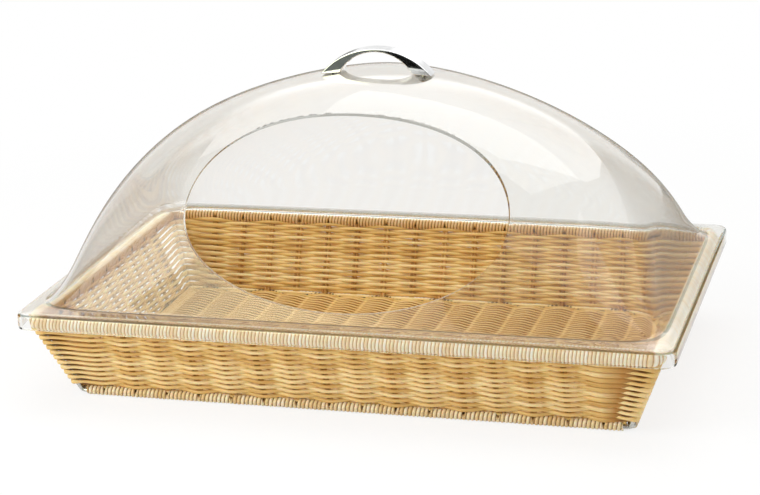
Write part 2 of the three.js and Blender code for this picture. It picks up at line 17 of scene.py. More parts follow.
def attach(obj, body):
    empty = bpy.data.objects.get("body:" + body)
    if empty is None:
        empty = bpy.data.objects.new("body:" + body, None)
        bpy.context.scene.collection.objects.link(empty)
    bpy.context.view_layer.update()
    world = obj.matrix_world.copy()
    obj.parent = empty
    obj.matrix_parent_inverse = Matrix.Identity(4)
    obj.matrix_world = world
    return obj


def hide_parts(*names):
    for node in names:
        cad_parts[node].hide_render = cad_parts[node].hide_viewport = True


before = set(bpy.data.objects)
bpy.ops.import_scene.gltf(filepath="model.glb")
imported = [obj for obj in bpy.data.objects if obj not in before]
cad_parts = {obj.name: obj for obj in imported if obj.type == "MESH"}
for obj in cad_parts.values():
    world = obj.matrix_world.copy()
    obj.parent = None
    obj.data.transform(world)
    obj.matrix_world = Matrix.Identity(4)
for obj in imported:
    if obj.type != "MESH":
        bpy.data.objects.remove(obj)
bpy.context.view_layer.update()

# %% [markdown]
# ## Sizes
# A basket maker thinks in millimetres and Blender in metres, so every size here is written in
# millimetres and turned once, where points become a mesh. The sizes repeat those of the solids, because
# a woven strand has to run exactly where the solid wall stands.

# %% Sizes in millimetres
MM = 0.001

RIM_LENGTH, RIM_WIDTH, RIM_TOP = 526.0, 325.0, 77.5
BASE_LENGTH, BASE_WIDTH = 472.0, 267.0
RIM_ROLL, BASE_ROLL = 12.0, 9.0
RIM_WIRE, BASE_WIRE, POST_WIRE = 5.0, 3.5, 4.0
RIM_BEND, BASE_BEND, BARE_WIRE = 10.0, 6.0, 1.5
BINDING_STRIP, CANE, SLIP = 1.0, 2.6, 0.3
CROSS_STAKES, CROSS_PITCH = 16, 28.0
END_STAKES, END_PITCH = 8, 30.0
FLOOR_LIFT, STAKE_BEND = 4.6, 5.0

RIM_LEVEL = RIM_TOP - RIM_ROLL / 2
BASE_LEVEL = BASE_ROLL / 2
RIM_HALF = np.array([RIM_LENGTH - RIM_ROLL, RIM_WIDTH - RIM_ROLL]) / 2
BASE_HALF = np.array([BASE_LENGTH - BASE_ROLL, BASE_WIDTH - BASE_ROLL]) / 2
LEAN = (RIM_HALF - BASE_HALF) / (RIM_LEVEL - BASE_LEVEL)
SLANT = np.hypot(1, LEAN)
STAKE_INSET = BASE_ROLL / 2 - BINDING_STRIP - SLIP - CANE / 2
WALL_LOW = BASE_ROLL + SLIP
print("the long and the end walls lean out by", np.degrees(np.arctan(LEAN[::-1])).round(1), "degrees")


def stake_line(z):
    """Half the distance between opposite lines of stakes at height z, along X and along Y."""
    return BASE_HALF - STAKE_INSET * SLANT + (z - BASE_LEVEL) * LEAN


def ring_place(half, level, wire):
    """Where the centre line of a frame wire runs: half its length, half its width and its height."""
    offset = wire / 2 + SLIP + CANE / 2 - STAKE_INSET
    return np.array([*(half + offset / SLANT), level - offset * LEAN[1] / SLANT[1]])


RIM_RING = ring_place(RIM_HALF, RIM_LEVEL, RIM_WIRE)
BASE_RING = ring_place(BASE_HALF, BASE_LEVEL, BASE_WIRE)
BEND_REACH = 1 - math.sqrt(0.5)


def post_place(z):
    """The middle of a corner post at height z, along X and along Y."""
    share = (z - BASE_RING[2]) / (RIM_RING[2] - BASE_RING[2])
    low, high = BASE_RING[:2] - BASE_BEND * BEND_REACH, RIM_RING[:2] - RIM_BEND * BEND_REACH
    return low + (high - low) * share


def even_places(count, pitch):
    """Places along a line, pitch apart and centred on zero."""
    return (np.arange(count) - (count - 1) / 2) * pitch


CROSS_PLACES = even_places(CROSS_STAKES, CROSS_PITCH)
END_PLACES = even_places(END_STAKES, END_PITCH)

# %% [markdown]
# ## From points to a mesh
# Every strand, stake, wire and wound border is a skin over rings of points, so one helper makes them
# all. It stores three things for the materials. A UV map runs along each strand in metres and once
# round it, so that a grain can follow it. A tone for each strand makes no two canes quite alike. And a
# painted shade, from 0 in the open to 1 in a groove or behind another strand, darkens what lies in shade.

# %% Mesh helpers
DICE = random.Random(7)
CANE_SIDES, WIRE_SIDES = 10, 16


def placed(name, data):
    """An object with this mesh, lamp or camera, linked into the scene."""
    thing = bpy.data.objects.new(name, data)
    bpy.context.scene.collection.objects.link(thing)
    return thing


def skin(rings, closed):
    """Faces that join rings of points. rings is (rings, sides, 3). The ends of an open run are capped."""
    count, sides = rings.shape[:2]
    r = np.arange(count if closed else count - 1)[:, None]
    s = np.arange(sides)[None, :]
    after_r, after_s = (r + 1) % count, (s + 1) % sides
    corners = [r * sides + s, r * sides + after_s, after_r * sides + after_s, after_r * sides + s]
    faces = np.stack([np.broadcast_to(c, (len(r), sides)) for c in corners], -1).reshape(-1, 4).tolist()
    if not closed:
        faces.append(list(range(sides - 1, -1, -1)))
        faces.append([(count - 1) * sides + k for k in range(sides)])
    return faces


def volume_of(mesh):
    """The volume that a mesh encloses. It is below zero where the faces point inwards."""
    solid = bmesh.new()
    solid.from_mesh(mesh)
    volume = solid.calc_volume(signed=True)
    solid.free()
    return volume


def skinned_object(name, runs, material, smooth_angle=60.0):
    """An object from several runs of rings. Each run is (rings, closed, tone, along), in millimetres,
    and may end with the painted shade of each of its points."""
    points, faces, tones, painted_shades, alongs, arounds = [], [], [], [], [], []
    start = 0
    for rings, closed, tone, along, *painted_shade in runs:
        count, sides = rings.shape[:2]
        points.append(rings.reshape(-1, 3))
        faces += [[start + k for k in face] for face in skin(rings, closed)]
        tones.append(np.broadcast_to(np.asarray(tone, float).reshape(-1, 1), (count, sides)).ravel())
        painted_shades.append(np.broadcast_to(painted_shade[0] if painted_shade else 0.0, (count, sides)).ravel())
        alongs.append(np.repeat(along, sides))
        arounds.append(np.tile(np.arange(sides) / sides, count))
        start += count * sides
    mesh = bpy.data.meshes.new(name)
    mesh.from_pydata(np.concatenate(points) * MM, [], faces)
    for layer, values in (("tone", tones), ("painted_shade", painted_shades)):
        attribute = mesh.attributes.new(layer, "FLOAT", "POINT")
        attribute.data.foreach_set("value", np.concatenate(values).astype(np.float32))
    corner_points = np.zeros(len(mesh.loops), np.int32)
    mesh.loops.foreach_get("vertex_index", corner_points)
    flat = np.stack([np.concatenate(alongs) * MM, np.concatenate(arounds)], 1)[corner_points]
    mesh.uv_layers.new(name="strand").data.foreach_set("uv", flat.astype(np.float32).ravel())
    mesh.polygons.foreach_set("use_smooth", np.ones(len(mesh.polygons), bool))
    mesh.set_sharp_from_angle(angle=math.radians(smooth_angle))
    piece = placed(name, mesh)
    mesh.materials.append(material)
    print(f"{name}: {len(runs)} runs, {len(mesh.polygons)} faces, {volume_of(mesh) * 1e6:.1f} cubic cm")
    return piece


def ringed_object(name, rings):
    """An object that only joins an open run of rings, without layers or a material."""
    mesh = bpy.data.meshes.new(name)
    mesh.from_pydata((rings.reshape(-1, 3) * MM).tolist(), [], [f[::-1] for f in skin(rings, False)])
    return placed(name, mesh)


def lengths_along(path):
    """How far along its path each point lies."""
    steps = np.linalg.norm(np.diff(path, axis=0), axis=1)
    return np.concatenate([[0], np.cumsum(steps)])


def tube(path, radius, sides, closed=False, level=(0, 0, 1), rise=1.0):
    """Rings round a path. level is a direction that the path never follows, and rise stretches along it."""
    path = np.asarray(path, float)
    if closed:
        ahead = np.roll(path, -1, 0) - np.roll(path, 1, 0)
    else:
        ahead = np.gradient(path, axis=0)
    ahead /= np.linalg.norm(ahead, axis=1)[:, None]
    across = np.cross(np.asarray(level, float), ahead)
    across /= np.linalg.norm(across, axis=1)[:, None]
    upward = np.cross(ahead, across)
    turn = np.arange(sides) / sides * 2 * math.pi
    reach = np.asarray(radius, float).reshape(-1, 1, 1)
    tall = np.sin(turn)[None, :, None] * upward[:, None, :] * np.reshape(rise, (-1, 1, 1))
    thick = np.cos(turn)[None, :, None] * across[:, None, :]
    return path[:, None, :] + reach * (tall + thick)


def smooth_path(points, steps, closed):
    """A curve through the points, by centripetal Catmull-Rom, with some steps between each two."""
    p = np.asarray(points, float)
    if closed:
        a, b, c, d = (np.roll(p, k, 0) for k in (1, 0, -1, -2))
    else:
        ends = np.concatenate([[2 * p[0] - p[1]], p, [2 * p[-1] - p[-2]]])
        a, b, c, d = ends[:-3], ends[1:-2], ends[2:-1], ends[3:]
    t1 = np.sqrt(np.linalg.norm(b - a, axis=1))[:, None]
    t2 = t1 + np.sqrt(np.linalg.norm(c - b, axis=1))[:, None]
    t3 = t2 + np.sqrt(np.linalg.norm(d - c, axis=1))[:, None]
    found = []
    for share in np.arange(steps) / steps:
        t = t1 + (t2 - t1) * share
        ab = (t1 - t) / t1 * a + t / t1 * b
        bc = (t2 - t) / (t2 - t1) * b + (t - t1) / (t2 - t1) * c
        cd = (t3 - t) / (t3 - t2) * c + (t - t2) / (t3 - t2) * d
        abc = (t2 - t) / t2 * ab + t / t2 * bc
        bcd = (t3 - t) / (t3 - t1) * bc + (t - t1) / (t3 - t1) * cd
        found.append((t2 - t) / (t2 - t1) * abc + (t - t1) / (t2 - t1) * bcd)
    curve = np.stack(found, 1).reshape(-1, 3)
    return curve if closed else np.concatenate([curve, p[-1:]])


# %% [markdown]
# ## Colours and the node helper
# Colours are written as sRGB hex values, as a paint chart gives them. Blender's shaders work in linear
# light, so one function turns them. One more adds a node with its settings and links and gives back
# the output that the next node needs, which keeps each material short enough to read as a recipe.

# %% Material helpers


def srgb(hex_value):
    """A linear RGBA colour from an sRGB hex string."""
    channels = [int(hex_value[i : i + 2], 16) / 255 for i in (1, 3, 5)]
    linear = [c / 12.92 if c <= 0.04045 else ((c + 0.055) / 1.055) ** 2.4 for c in channels]
    return (*linear, 1.0)


def add(tree, kind, inputs=None, out=0, **settings):
    """Adds a node and gives its output. inputs maps a socket's name or number to a value or an output."""
    node = tree.nodes.new("ShaderNode" + kind)
    for name, value in settings.items():
        setattr(node, name, value)
    for name, value in (inputs or {}).items():
        if isinstance(value, bpy.types.NodeSocket):
            tree.links.new(value, node.inputs[name])
        else:
            node.inputs[name].default_value = value
    return node.outputs[out]


def empty_material(name):
    """A node material with nothing in it yet, and its tree."""
    material = bpy.data.materials.new(name)
    material.use_nodes = True
    material.node_tree.nodes.clear()
    return material, material.node_tree


def finished(owner, shader, output="OutputMaterial"):
    """The material or world, with this shader on its surface."""
    tree = owner.node_tree
    tree.links.new(shader, tree.nodes.new("ShaderNode" + output).inputs["Surface"])
    return owner


def colour_steps(tree, factor, steps):
    """A colour ramp from (position, hex) steps."""
    ramp = add(tree, "ValToRGB", {"Fac": factor}).node
    while len(ramp.color_ramp.elements) < len(steps):
        ramp.color_ramp.elements.new(0.5)
    for element, (position, value) in zip(ramp.color_ramp.elements, steps):
        element.position = position
        element.color = srgb(value)
    return ramp.outputs["Color"]


# %% [markdown]
# ## Woven polypropylene cane
# Table baskets that get washed every day are woven from extruded polypropylene cane, round and evenly
# thick, which looks like peeled rattan. Extrusion draws faint streaks along the strand, a little over
# 1 mm apart, and leaves a soft satin gloss. The plastic lets a little light through, so the hollows between
# strands glow a warm brown instead of going grey. Subsurface scattering gives some of that, and painted
# shade, warm brown first and dark brown where it is deepest, gives the rest. Four lots of cane differ in
# shade: the strands, the darker stakes, and paler flat cane for the wound rim and base. The rim's is
# painted paler still, as painted light for the haze that the cover lays over it.

# %% Woven cane material
STREAKS_AROUND, STREAK_LENGTH, BLOTCH = 6.5, 25.0, 18.0
STREAK_SHARE, BLOTCH_SHARE, TONE_SHARE = 0.35, 0.25, 0.4


def cane_material(name, pale, middle, deep, roughness, warm_painted_shade="#C08A42", deep_painted_shade="#6B461C"):
    """Cane in three shades of its own. Where it carries painted shade, it darkens through a warm brown to a
    dark brown.
    """
    material, tree = empty_material(name)
    place = add(tree, "UVMap", uv_map="strand")
    tone = add(tree, "Attribute", attribute_name="tone", out="Fac")
    painted_shade = add(tree, "Attribute", attribute_name="painted_shade", out="Fac")
    body = add(tree, "TexCoord", out="Object")
    stretch = (1 / (STREAK_LENGTH * MM), STREAKS_AROUND, 1)
    along = add(tree, "Mapping", {"Vector": place, "Scale": stretch})
    streaks = add(tree, "TexNoise", {"Vector": along, "Scale": 1.0, "Detail": 3.0})
    spots = {"Vector": body, "Scale": 1 / (BLOTCH * MM), "Detail": 2.0}
    blotches = add(tree, "TexNoise", spots)
    shade = 0.0
    for source, share in ((streaks, STREAK_SHARE), (blotches, BLOTCH_SHARE), (tone, TONE_SHARE)):
        shade = add(tree, "Math", {0: source, 1: share, 2: shade}, operation="MULTIPLY_ADD")
    colour = colour_steps(tree, shade, [(0.2, deep), (0.5, middle), (0.78, pale)])
    # Painted shade: the colour darkens to a warm brown, then to a dark brown, as the painted shade grows.
    for low, high, value in ((0.0, 0.5, warm_painted_shade), (0.5, 1.0, deep_painted_shade)):
        share = add(tree, "MapRange", {"Value": painted_shade, "From Min": low, "From Max": high})
        colour = add(tree, "Mix", {0: share, 6: colour, 7: srgb(value)}, data_type="RGBA", out=2)
    grain = add(tree, "Bump", {"Height": streaks, "Strength": 0.25, "Distance": 0.1 * MM})
    shader = add(
        tree,
        "BsdfPrincipled",
        {
            "Base Color": colour,
            "Roughness": roughness,
            "IOR": 1.49,
            "Specular IOR Level": 0.4,
            "Subsurface Weight": 0.25,
            "Subsurface Radius": (1.0, 0.45, 0.15),
            "Subsurface Scale": 1.5 * MM,
            "Normal": grain,
        },
    )
    return finished(material, shader)


strand_cane = cane_material("woven_polypropylene_cane", "#FBE3AC", "#EBC67C", "#C99848", 0.42)
stake_cane = cane_material("polypropylene_cane_stakes", "#EAC681", "#D2A25A", "#A57336", 0.45)
# Painted light: the rim's flat cane is a paler copy of the base's, for the haze that the clear cover lays
# over the rim.
rim_cane_painted_paler = cane_material(
    "wound_rim_cane_painted_paler", "#FFFBEE", "#FFF1D2", "#EED29E", 0.4, warm_painted_shade="#D9A860", deep_painted_shade="#4A3218"
)
base_cane = cane_material(
    "wound_base_polypropylene_cane", "#FFF4D8", "#F6E0B0", "#DDB876", 0.42, warm_painted_shade="#A67F48", deep_painted_shade="#33210F"
)

# %% [markdown]
# ## The stakes
# Stakes are what a basket is woven on. Here each is a pair of canes side by side. Sixteen pairs run up
# the front wall, across under the floor and up the back wall in one length, and eight pairs stand in
# each end wall. Two thin tubes per stake show the pair where the weave lets it be seen.

# %% Stakes
STAKE_TOP = RIM_LEVEL + 3.5
WALL_SPOTS, BEND_STEPS, END_SPOTS = 12, 8, 16
PAIR = (-CANE / 2, CANE / 2)
BEND_START = math.atan(LEAN[1])
BEND_TURN = math.pi / 2 - BEND_START
BEND_CENTRE = stake_line(FLOOR_LIFT)[1] - STAKE_BEND * math.tan(BEND_TURN / 2)


def cross_stake_path():
    """The path of a cross stake in its own plane, as rows of y and z."""
    half = [(stake_line(z)[1], z) for z in np.linspace(STAKE_TOP, BASE_ROLL, WALL_SPOTS)]
    for at in BEND_START + BEND_TURN * np.arange(BEND_STEPS + 1) / BEND_STEPS:
        half.append((BEND_CENTRE + STAKE_BEND * math.cos(at), FLOOR_LIFT + STAKE_BEND * (1 - math.sin(at))))
    return np.array(half + [(-y, z) for y, z in half[::-1]])


def stake_run(path, across):
    """One cane of a pair, as a run of rings. across is a direction that its path never follows."""
    return tube(path, CANE / 2, CANE_SIDES, level=across), False, DICE.random(), lengths_along(path)


def stake_runs():
    runs = []
    outline = cross_stake_path()
    for x in CROSS_PLACES:
        for offset in PAIR:
            path = np.column_stack([np.full(len(outline), x + offset), outline])
            runs.append(stake_run(path, (1, 0, 0)))
    heights = np.linspace(STAKE_TOP, BASE_LEVEL, END_SPOTS)
    for end in (-1, 1):
        for y in END_PLACES:
            for offset in PAIR:
                path = np.array([(end * stake_line(z)[0], y + offset, z) for z in heights])
                runs.append(stake_run(path, (0, 1, 0)))
    return runs


stakes = skinned_object("stake_canes", stake_runs(), stake_cane)
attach(stakes, "basket")
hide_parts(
    *[f"cross_stake_{k:02d}" for k in range(1, CROSS_STAKES + 1)],
    *[f"{end}_stake_{k}" for end in ("left", "right") for k in range(1, END_STAKES + 1)],
)

# %% [markdown]
# ## The woven walls
# A weaver lays one strand after another round the whole basket. Each passes outside one stake and inside
# the next, and the row above does the opposite. At a corner, every second row goes round the outside of
# the post and the others pass inside it, which leaves small holes beside each corner. So each row is one
# closed loop through a list of points: one at each stake, one midway, and a few at each post. The rows
# that pass inside a post carry painted shade there, so that the holes look dark.
# Beating the rows down presses the canes a little flat, so each is 1.18 times as tall as it is thick on
# the long walls, 1.3 times on the ends, and up to 1.92 times where it turns a corner.

# %% Woven walls
ROWS, ROW_PITCH = 24, 2.473
PACKED, PACKED_ENDS, PRESSED_INSIDE, SPAN_BESIDE_CORNER = 1.18, 1.3, 1.92, 1.7
PRESSED_OUTSIDE = [1.0, 1.0, 1.6, 1.9, 1.6, 1.0, 1.0]
SHADE_BEHIND, SHADE_BETWEEN, SHADE_INSIDE = 1.0, 0.6, 0.9
BETWEEN_POWER, INSIDE_GAIN = 1.5, 1.6
WANDER, WANDERS, CURVE_STEPS = 0.16, 97, 5
THICKNESS = (0.96, 1.04)
WEAVE_SWING = CANE + 0.1
POST_SWING = POST_WIRE / 2 + CANE / 2
# A row's points before a post, as distances from the post: along the wall, and inwards from it.
ROUND_POST = [(-9.0, 1.3 - POST_SWING), (-4.5, -POST_SWING), (0.0, -POST_SWING - 0.05)]
BEHIND_POST = [(-10.0, 1.2), (-6.0, 2.0)]
CORNER_OUTSIDE, CORNER_INSIDE = 0.72 * POST_SWING, -0.75 * POST_SWING


def side_points(places, z, axis, parity):
    """Points of one row along one wall, first stake to last: how far along, the stakes' line, the swing."""
    line = stake_line(z)[1 - axis]
    found = []
    for k, place in enumerate(places):
        swing = WEAVE_SWING if (k + parity) % 2 else -WEAVE_SWING
        found.append((place, line, swing))
        if k < len(places) - 1:
            found.append(((place + places[k + 1]) / 2, line, 0.0))
    return found


def corner_points(z, outside):
    """Points of one row round a corner post. After the post they mirror those before it."""
    before = ROUND_POST if outside else BEHIND_POST
    middle = CORNER_OUTSIDE if outside else CORNER_INSIDE
    near = [*before, (middle, -middle), *[(-y, -x) for x, y in before[::-1]]]
    post_x, post_y = post_place(z)
    return [(post_x + x, post_y - y) for x, y in near]


def row_loop(row):
    """One row's closed path with its small wander: x, y, z, how pressed, how far swung, and how hidden."""
    z = WALL_LOW + (row + 0.5) * ROW_PITCH
    tilt = np.arctan(LEAN)
    loop, pressed, swings, hidden = [], [], [], []
    wander = [DICE.uniform(-WANDER, WANDER) for _ in range(WANDERS)]
    # The four walls in turn: front, right, back, left. Each is its stakes' places, the axis of its length,
    # and two frames, for its own points (along, outward) and for those of the corner that follows it.
    walls = [
        (CROSS_PLACES, 0, lambda a, o: (a, -o), lambda x, y: (x, -y)),
        (END_PLACES, 1, lambda a, o: (o, a), lambda x, y: (x, y)),
        (CROSS_PLACES, 0, lambda a, o: (-a, o), lambda x, y: (-x, y)),
        (END_PLACES, 1, lambda a, o: (-o, -a), lambda x, y: (-x, -y)),
    ]
    for places, axis, on_wall, on_corner in walls:
        lean = tilt[1 - axis]
        first = len(pressed)
        for along, line, swing in side_points(places, z, axis, row):
            x, y = on_wall(along, line + swing * math.cos(lean))
            loop.append((x, y, z - swing * math.sin(lean) + wander[len(loop) % WANDERS]))
            pressed.append(PACKED if axis == 0 else PACKED_ENDS)
            swings.append(axis * swing / WEAVE_SWING)
            hidden.append(0.0)
        pressed[-1] = SPAN_BESIDE_CORNER
        if axis == 1:
            pressed[first] = SPAN_BESIDE_CORNER
        outside = (len(places) + row) % 2 == 1
        points = [on_corner(x, y) for x, y in corner_points(z, outside)]
        if axis == 1:
            points.reverse()
        loop += [(x, y, z) for x, y in points]
        pressed += PRESSED_OUTSIDE if outside else [PRESSED_INSIDE] * len(points)
        swings += [0.0] * len(points)
        hidden += [0.0 if outside else 1.0] * len(points)
    return np.column_stack([loop, pressed, swings, hidden])


def wall_runs():
    runs = []
    share = np.arange(CURVE_STEPS) / CURVE_STEPS
    facing = -np.cos(np.arange(CANE_SIDES) / CANE_SIDES * 2 * math.pi)[None, :]
    for row in range(ROWS):
        loop = row_loop(row)
        path = smooth_path(loop[:, :3], CURVE_STEPS, True)
        after = np.roll(loop, -1, 0)
        pressed, swings, hidden = (
            (loop[:, k, None] * (1 - share) + after[:, k, None] * share).reshape(-1, 1) for k in (3, 4, 5)
        )
        rings = tube(path, CANE / 2 * DICE.uniform(*THICKNESS), CANE_SIDES, True, rise=pressed.ravel())
        # Painted shade, on the end walls: a strand darkens on the face turned to a stake it passes behind,
        # and above and below, where the next rows lie. A row that passes inside a post darkens on its outer
        # face.
        behind = np.clip(-facing * swings, 0, 1) * SHADE_BEHIND
        between = (1 - facing**2) ** BETWEEN_POWER * (swings != 0) * SHADE_BETWEEN
        dark = SHADE_INSIDE * hidden * np.clip(INSIDE_GAIN * facing, 0, 1)
        painted_shade = np.maximum(dark, np.maximum(behind, between))
        runs.append((rings, True, DICE.random(), lengths_along(path), painted_shade))
    return runs


walls = skinned_object("woven_wall_strands", wall_runs(), strand_cane)
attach(walls, "basket")
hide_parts("wall_weave_front", "wall_weave_back", "wall_weave_left", "wall_weave_right")

# %% [markdown]
# ## The woven floor
# The floor's strands run the long way, over one pair of canes and under the next. Seen low from the
# front, the high part of every second strand lines up with the next ones, and each stake grows a row of
# little shells. The real geometry gives that, so the floor is made of single strands too, and painted
# shade along each strand's sides and where it dips deepens it. Each strand turns up into the end walls,
# and three more along each side fill the bend of the cross stakes.

# %% Woven floor
FLOOR_STRANDS = 86
FLOOR_HALF_LENGTH, FLOOR_HALF_WIDTH = BASE_LENGTH / 2 - BASE_ROLL + 0.6, BASE_WIDTH / 2 - BASE_ROLL
FLOOR_WANDER, FLOOR_THICKNESS, FLOOR_TONES = 0.12, (0.96, 1.03), (0.35, 0.65)
FLANK_SHADE, VALLEY_SHADE = 0.75, 0.35
# The turned up end of a strand, from its tip: how far past the floor's half length, and how high.
STRAND_END = [(1.2, BASE_ROLL + 0.8), (-0.6, 7.2), (-4.0, FLOOR_LIFT)]
TURNING_SHARES = (0.0, 0.4, 0.8)


def turning_strand(side, share, parity):
    """A strand that lies in the bend of the cross stakes, share of the way from the wall to the floor."""
    at = BEND_START + BEND_TURN * share
    swings = [WEAVE_SWING if (k + parity) % 2 else -WEAVE_SWING / 2 for k in range(CROSS_STAKES)]
    reaches = [STAKE_BEND - swing for swing in swings]
    places = [-FLOOR_HALF_LENGTH, *CROSS_PLACES, FLOOR_HALF_LENGTH]
    return [
        (x, side * (BEND_CENTRE + reach * math.cos(at)), FLOOR_LIFT + STAKE_BEND - reach * math.sin(at))
        for x, reach in zip(places, [reaches[1], *reaches, reaches[-2]])
    ]


def floor_strand(strand):
    """One strand's points, from its left tip to its right one."""
    y = -FLOOR_HALF_WIDTH + (strand + 0.5) * 2 * FLOOR_HALF_WIDTH / FLOOR_STRANDS
    end = [(FLOOR_HALF_LENGTH + out, y, z) for out, z in STRAND_END]
    points = [(-x, y, z) for x, y, z in end]
    for k, x in enumerate(CROSS_PLACES):
        swing = WEAVE_SWING if (k + strand) % 2 else -WEAVE_SWING
        points.append((x, y + DICE.uniform(-FLOOR_WANDER, FLOOR_WANDER), FLOOR_LIFT + swing))
        if k < CROSS_STAKES - 1:
            points.append(((x + CROSS_PLACES[k + 1]) / 2, y, FLOOR_LIFT))
    return points + end[::-1]


def floor_runs():
    runs = []
    # Painted shade: each floor strand darkens along both its sides, where the next strands lie, and where it
    # dips under a stake.
    flank = np.abs(np.sin(np.arange(CANE_SIDES) / CANE_SIDES * 2 * math.pi))[None, :] ** 4 * FLANK_SHADE
    for strand in range(FLOOR_STRANDS):
        path = smooth_path(floor_strand(strand), CURVE_STEPS, False)
        radius = CANE / 2 * DICE.uniform(*FLOOR_THICKNESS)
        rings = tube(path, radius, CANE_SIDES, level=(0, 1, 0), rise=PACKED)
        valley = np.clip((FLOOR_LIFT - path[:, 2]) / WEAVE_SWING, 0, 1)[:, None] * VALLEY_SHADE
        tone = DICE.uniform(*FLOOR_TONES)
        runs.append((rings, False, tone, lengths_along(path), np.maximum(flank, valley)))
    for side in (-1, 1):
        for parity, share in enumerate(TURNING_SHARES):
            path = smooth_path(turning_strand(side, share, parity), CURVE_STEPS, False)
            rings = tube(path, CANE / 2, CANE_SIDES, level=(0, 1, 0), rise=PACKED)
            runs.append((rings, False, DICE.random(), lengths_along(path)))
    return runs


floor_strands = skinned_object("woven_floor_strands", floor_runs(), strand_cane)
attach(floor_strands, "basket")
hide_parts("floor_weave")

# %% [markdown]
# ## The wound borders
# Flat cane is wound tightly round the rim wire and the stake ends, and round the base wire. A helix of
# separate strips would hide most of itself, so the skin of the roll is shaped instead: its radius swells
# and dips once per turn, and the dip slants as a helix does. Where a stake comes out, the strip has to
# step aside, and a notch shows, made darker with painted shade. Painted shade also darkens the grooves
# between turns and the side of the roll that lies against the wall. Each wall has its own length of binding.
# The rim's four lengths go
# half way round each corner and meet there. The base's stop short of its corners, which stay bare wire,
# and are flat below, where the basket stands on them.

# %% Wound borders
TURN_STEPS, ROLL_SIDES = 10, 28
STRIP_CREST, STRIP_UNEVEN, CREST_POWER = 1.0, 0.25, 2.2
NOTCH_DEPTH, NOTCH_REACH = 2.0, 0.95
MOUTH_FULL, MOUTH_FADE, UNSEEN_GAIN, UNSEEN_START = 1.3, 1.1, 1.6, 0.5
SOLE_GROOVE, BORDER_ANGLE = 0.3, 75.0
RIM_ROLL_BEND = RIM_BEND - (RIM_RING[0] - RIM_HALF[0])
FACING_TURNS = {"front": math.pi, "back": 0.0, "left": math.pi / 2, "right": -math.pi / 2}
# The angles go round a roll from outwards to up: mouth is where the stakes enter, and unseen is the side
# that lies against the wall, which takes painted shade, up to shade.
BORDERS = {
    "rim": {
        "half": RIM_HALF,
        "level": RIM_LEVEL,
        "straights": RIM_HALF - RIM_ROLL_BEND,
        "bend": RIM_ROLL_BEND,
        "roll": RIM_ROLL,
        "pitch": 3.0,
        "mouth": -math.pi / 2 - 0.8,
        "unseen": math.pi * 1.1,
        "shade": 0.35,
        "flat": False,
        "cane": rim_cane_painted_paler,
    },
    "base": {
        "half": BASE_HALF,
        "level": BASE_LEVEL,
        "straights": BASE_RING[:2] - BASE_BEND - BARE_WIRE,
        "bend": 0.0,
        "roll": BASE_ROLL,
        "pitch": 3.45,
        "mouth": math.pi / 2 - 0.5,
        "unseen": math.pi * 0.8,
        "shade": 1.0,
        "flat": True,
        "cane": base_cane,
    },
}


def border_course(straight, bend, outward, count):
    """A border's middle line, laid along X with +Y outward: how far along, the turn it faces, x and y."""
    end = straight + bend * math.pi / 4
    along = np.linspace(-end, end, count)
    beyond = along - np.clip(along, -straight, straight)
    facing = beyond / bend if bend else beyond
    x = np.clip(along, -straight, straight) + bend * np.sin(facing)
    return along, facing, x, outward - bend * (1 - np.cos(facing))


def wound_border(word, side):
    """One wall's length of a border, as a roll wound with flat cane."""
    border = BORDERS[word]
    bend, roll, pitch = border["bend"], border["roll"], border["pitch"]
    axis = 0 if side in ("front", "back") else 1
    straight, notches = border["straights"][axis], (CROSS_PLACES, END_PLACES)[axis]
    length = 2 * (straight + bend * math.pi / 4)
    count = int(round(length / pitch)) * TURN_STEPS + 1
    along, facing, x, y = border_course(straight, bend, border["half"][1 - axis], count)
    turn = np.arange(ROLL_SIDES) / ROLL_SIDES * 2 * math.pi
    phase = along[:, None] / pitch + turn[None, :] / (2 * math.pi)
    strip = np.floor(phase).astype(int)
    crown = 1 - np.abs(2 * (phase - strip) - 1) ** CREST_POWER
    strip -= strip.min()
    heights = np.array([DICE.random() for _ in range(strip.max() + 1)])[strip]
    radius = roll / 2 - STRIP_CREST * (1 - crown) - STRIP_UNEVEN * heights * crown
    off_mouth = np.abs((turn - border["mouth"] + math.pi) % (2 * math.pi) - math.pi)
    reach = np.clip(MOUTH_FULL - off_mouth / MOUTH_FADE, 0, 1)[None, :]
    nearness = sum(np.exp(-(((along - notch) / NOTCH_REACH) ** 2)) for notch in notches)[:, None]
    radius -= NOTCH_DEPTH * nearness * reach
    # Painted shade: darker in the grooves between turns, in the notches where stakes come out, and on the
    # side against the wall.
    hidden = UNSEEN_GAIN * np.cos(turn - border["unseen"]) - UNSEEN_START
    hidden = np.clip(hidden, 0, border["shade"])[None, :]
    painted_shade = np.clip((1 - crown) ** CREST_POWER + nearness * reach + hidden, 0, 1)
    out, up = radius * np.cos(turn), radius * np.sin(turn)
    if border["flat"]:
        up = np.maximum(up, -roll / 2 + SOLE_GROOVE * (1 - crown))
    place_x = x[:, None] + out * np.sin(facing)[:, None]
    place_y = y[:, None] + out * np.cos(facing)[:, None]
    c, s = math.cos(FACING_TURNS[side]), math.sin(FACING_TURNS[side])
    rings = np.stack([place_x * c - place_y * s, place_x * s + place_y * c, border["level"] + up], -1)
    run = (rings, False, heights[:, 0], along + length / 2, painted_shade)
    return skinned_object(f"{word}_wound_{side}", [run], border["cane"], BORDER_ANGLE)


for word in BORDERS:
    for side in FACING_TURNS:
        wound = wound_border(word, side)
        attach(wound, "basket")
        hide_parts(f"{word}_binding_{side}")

# %% [markdown]
# ## The wire frame
# Two bent rings and four leaning posts of nickel plated steel wire carry the weave. Only the corners of
# the base ring show, bright and bare. Plating gives the wire small cloudy marks, about 1.5 mm across, and
# its roughness follows them.

# %% Wire frame
BEND_SPOTS, POST_SPOTS, WELD = 10, 6, 0.4


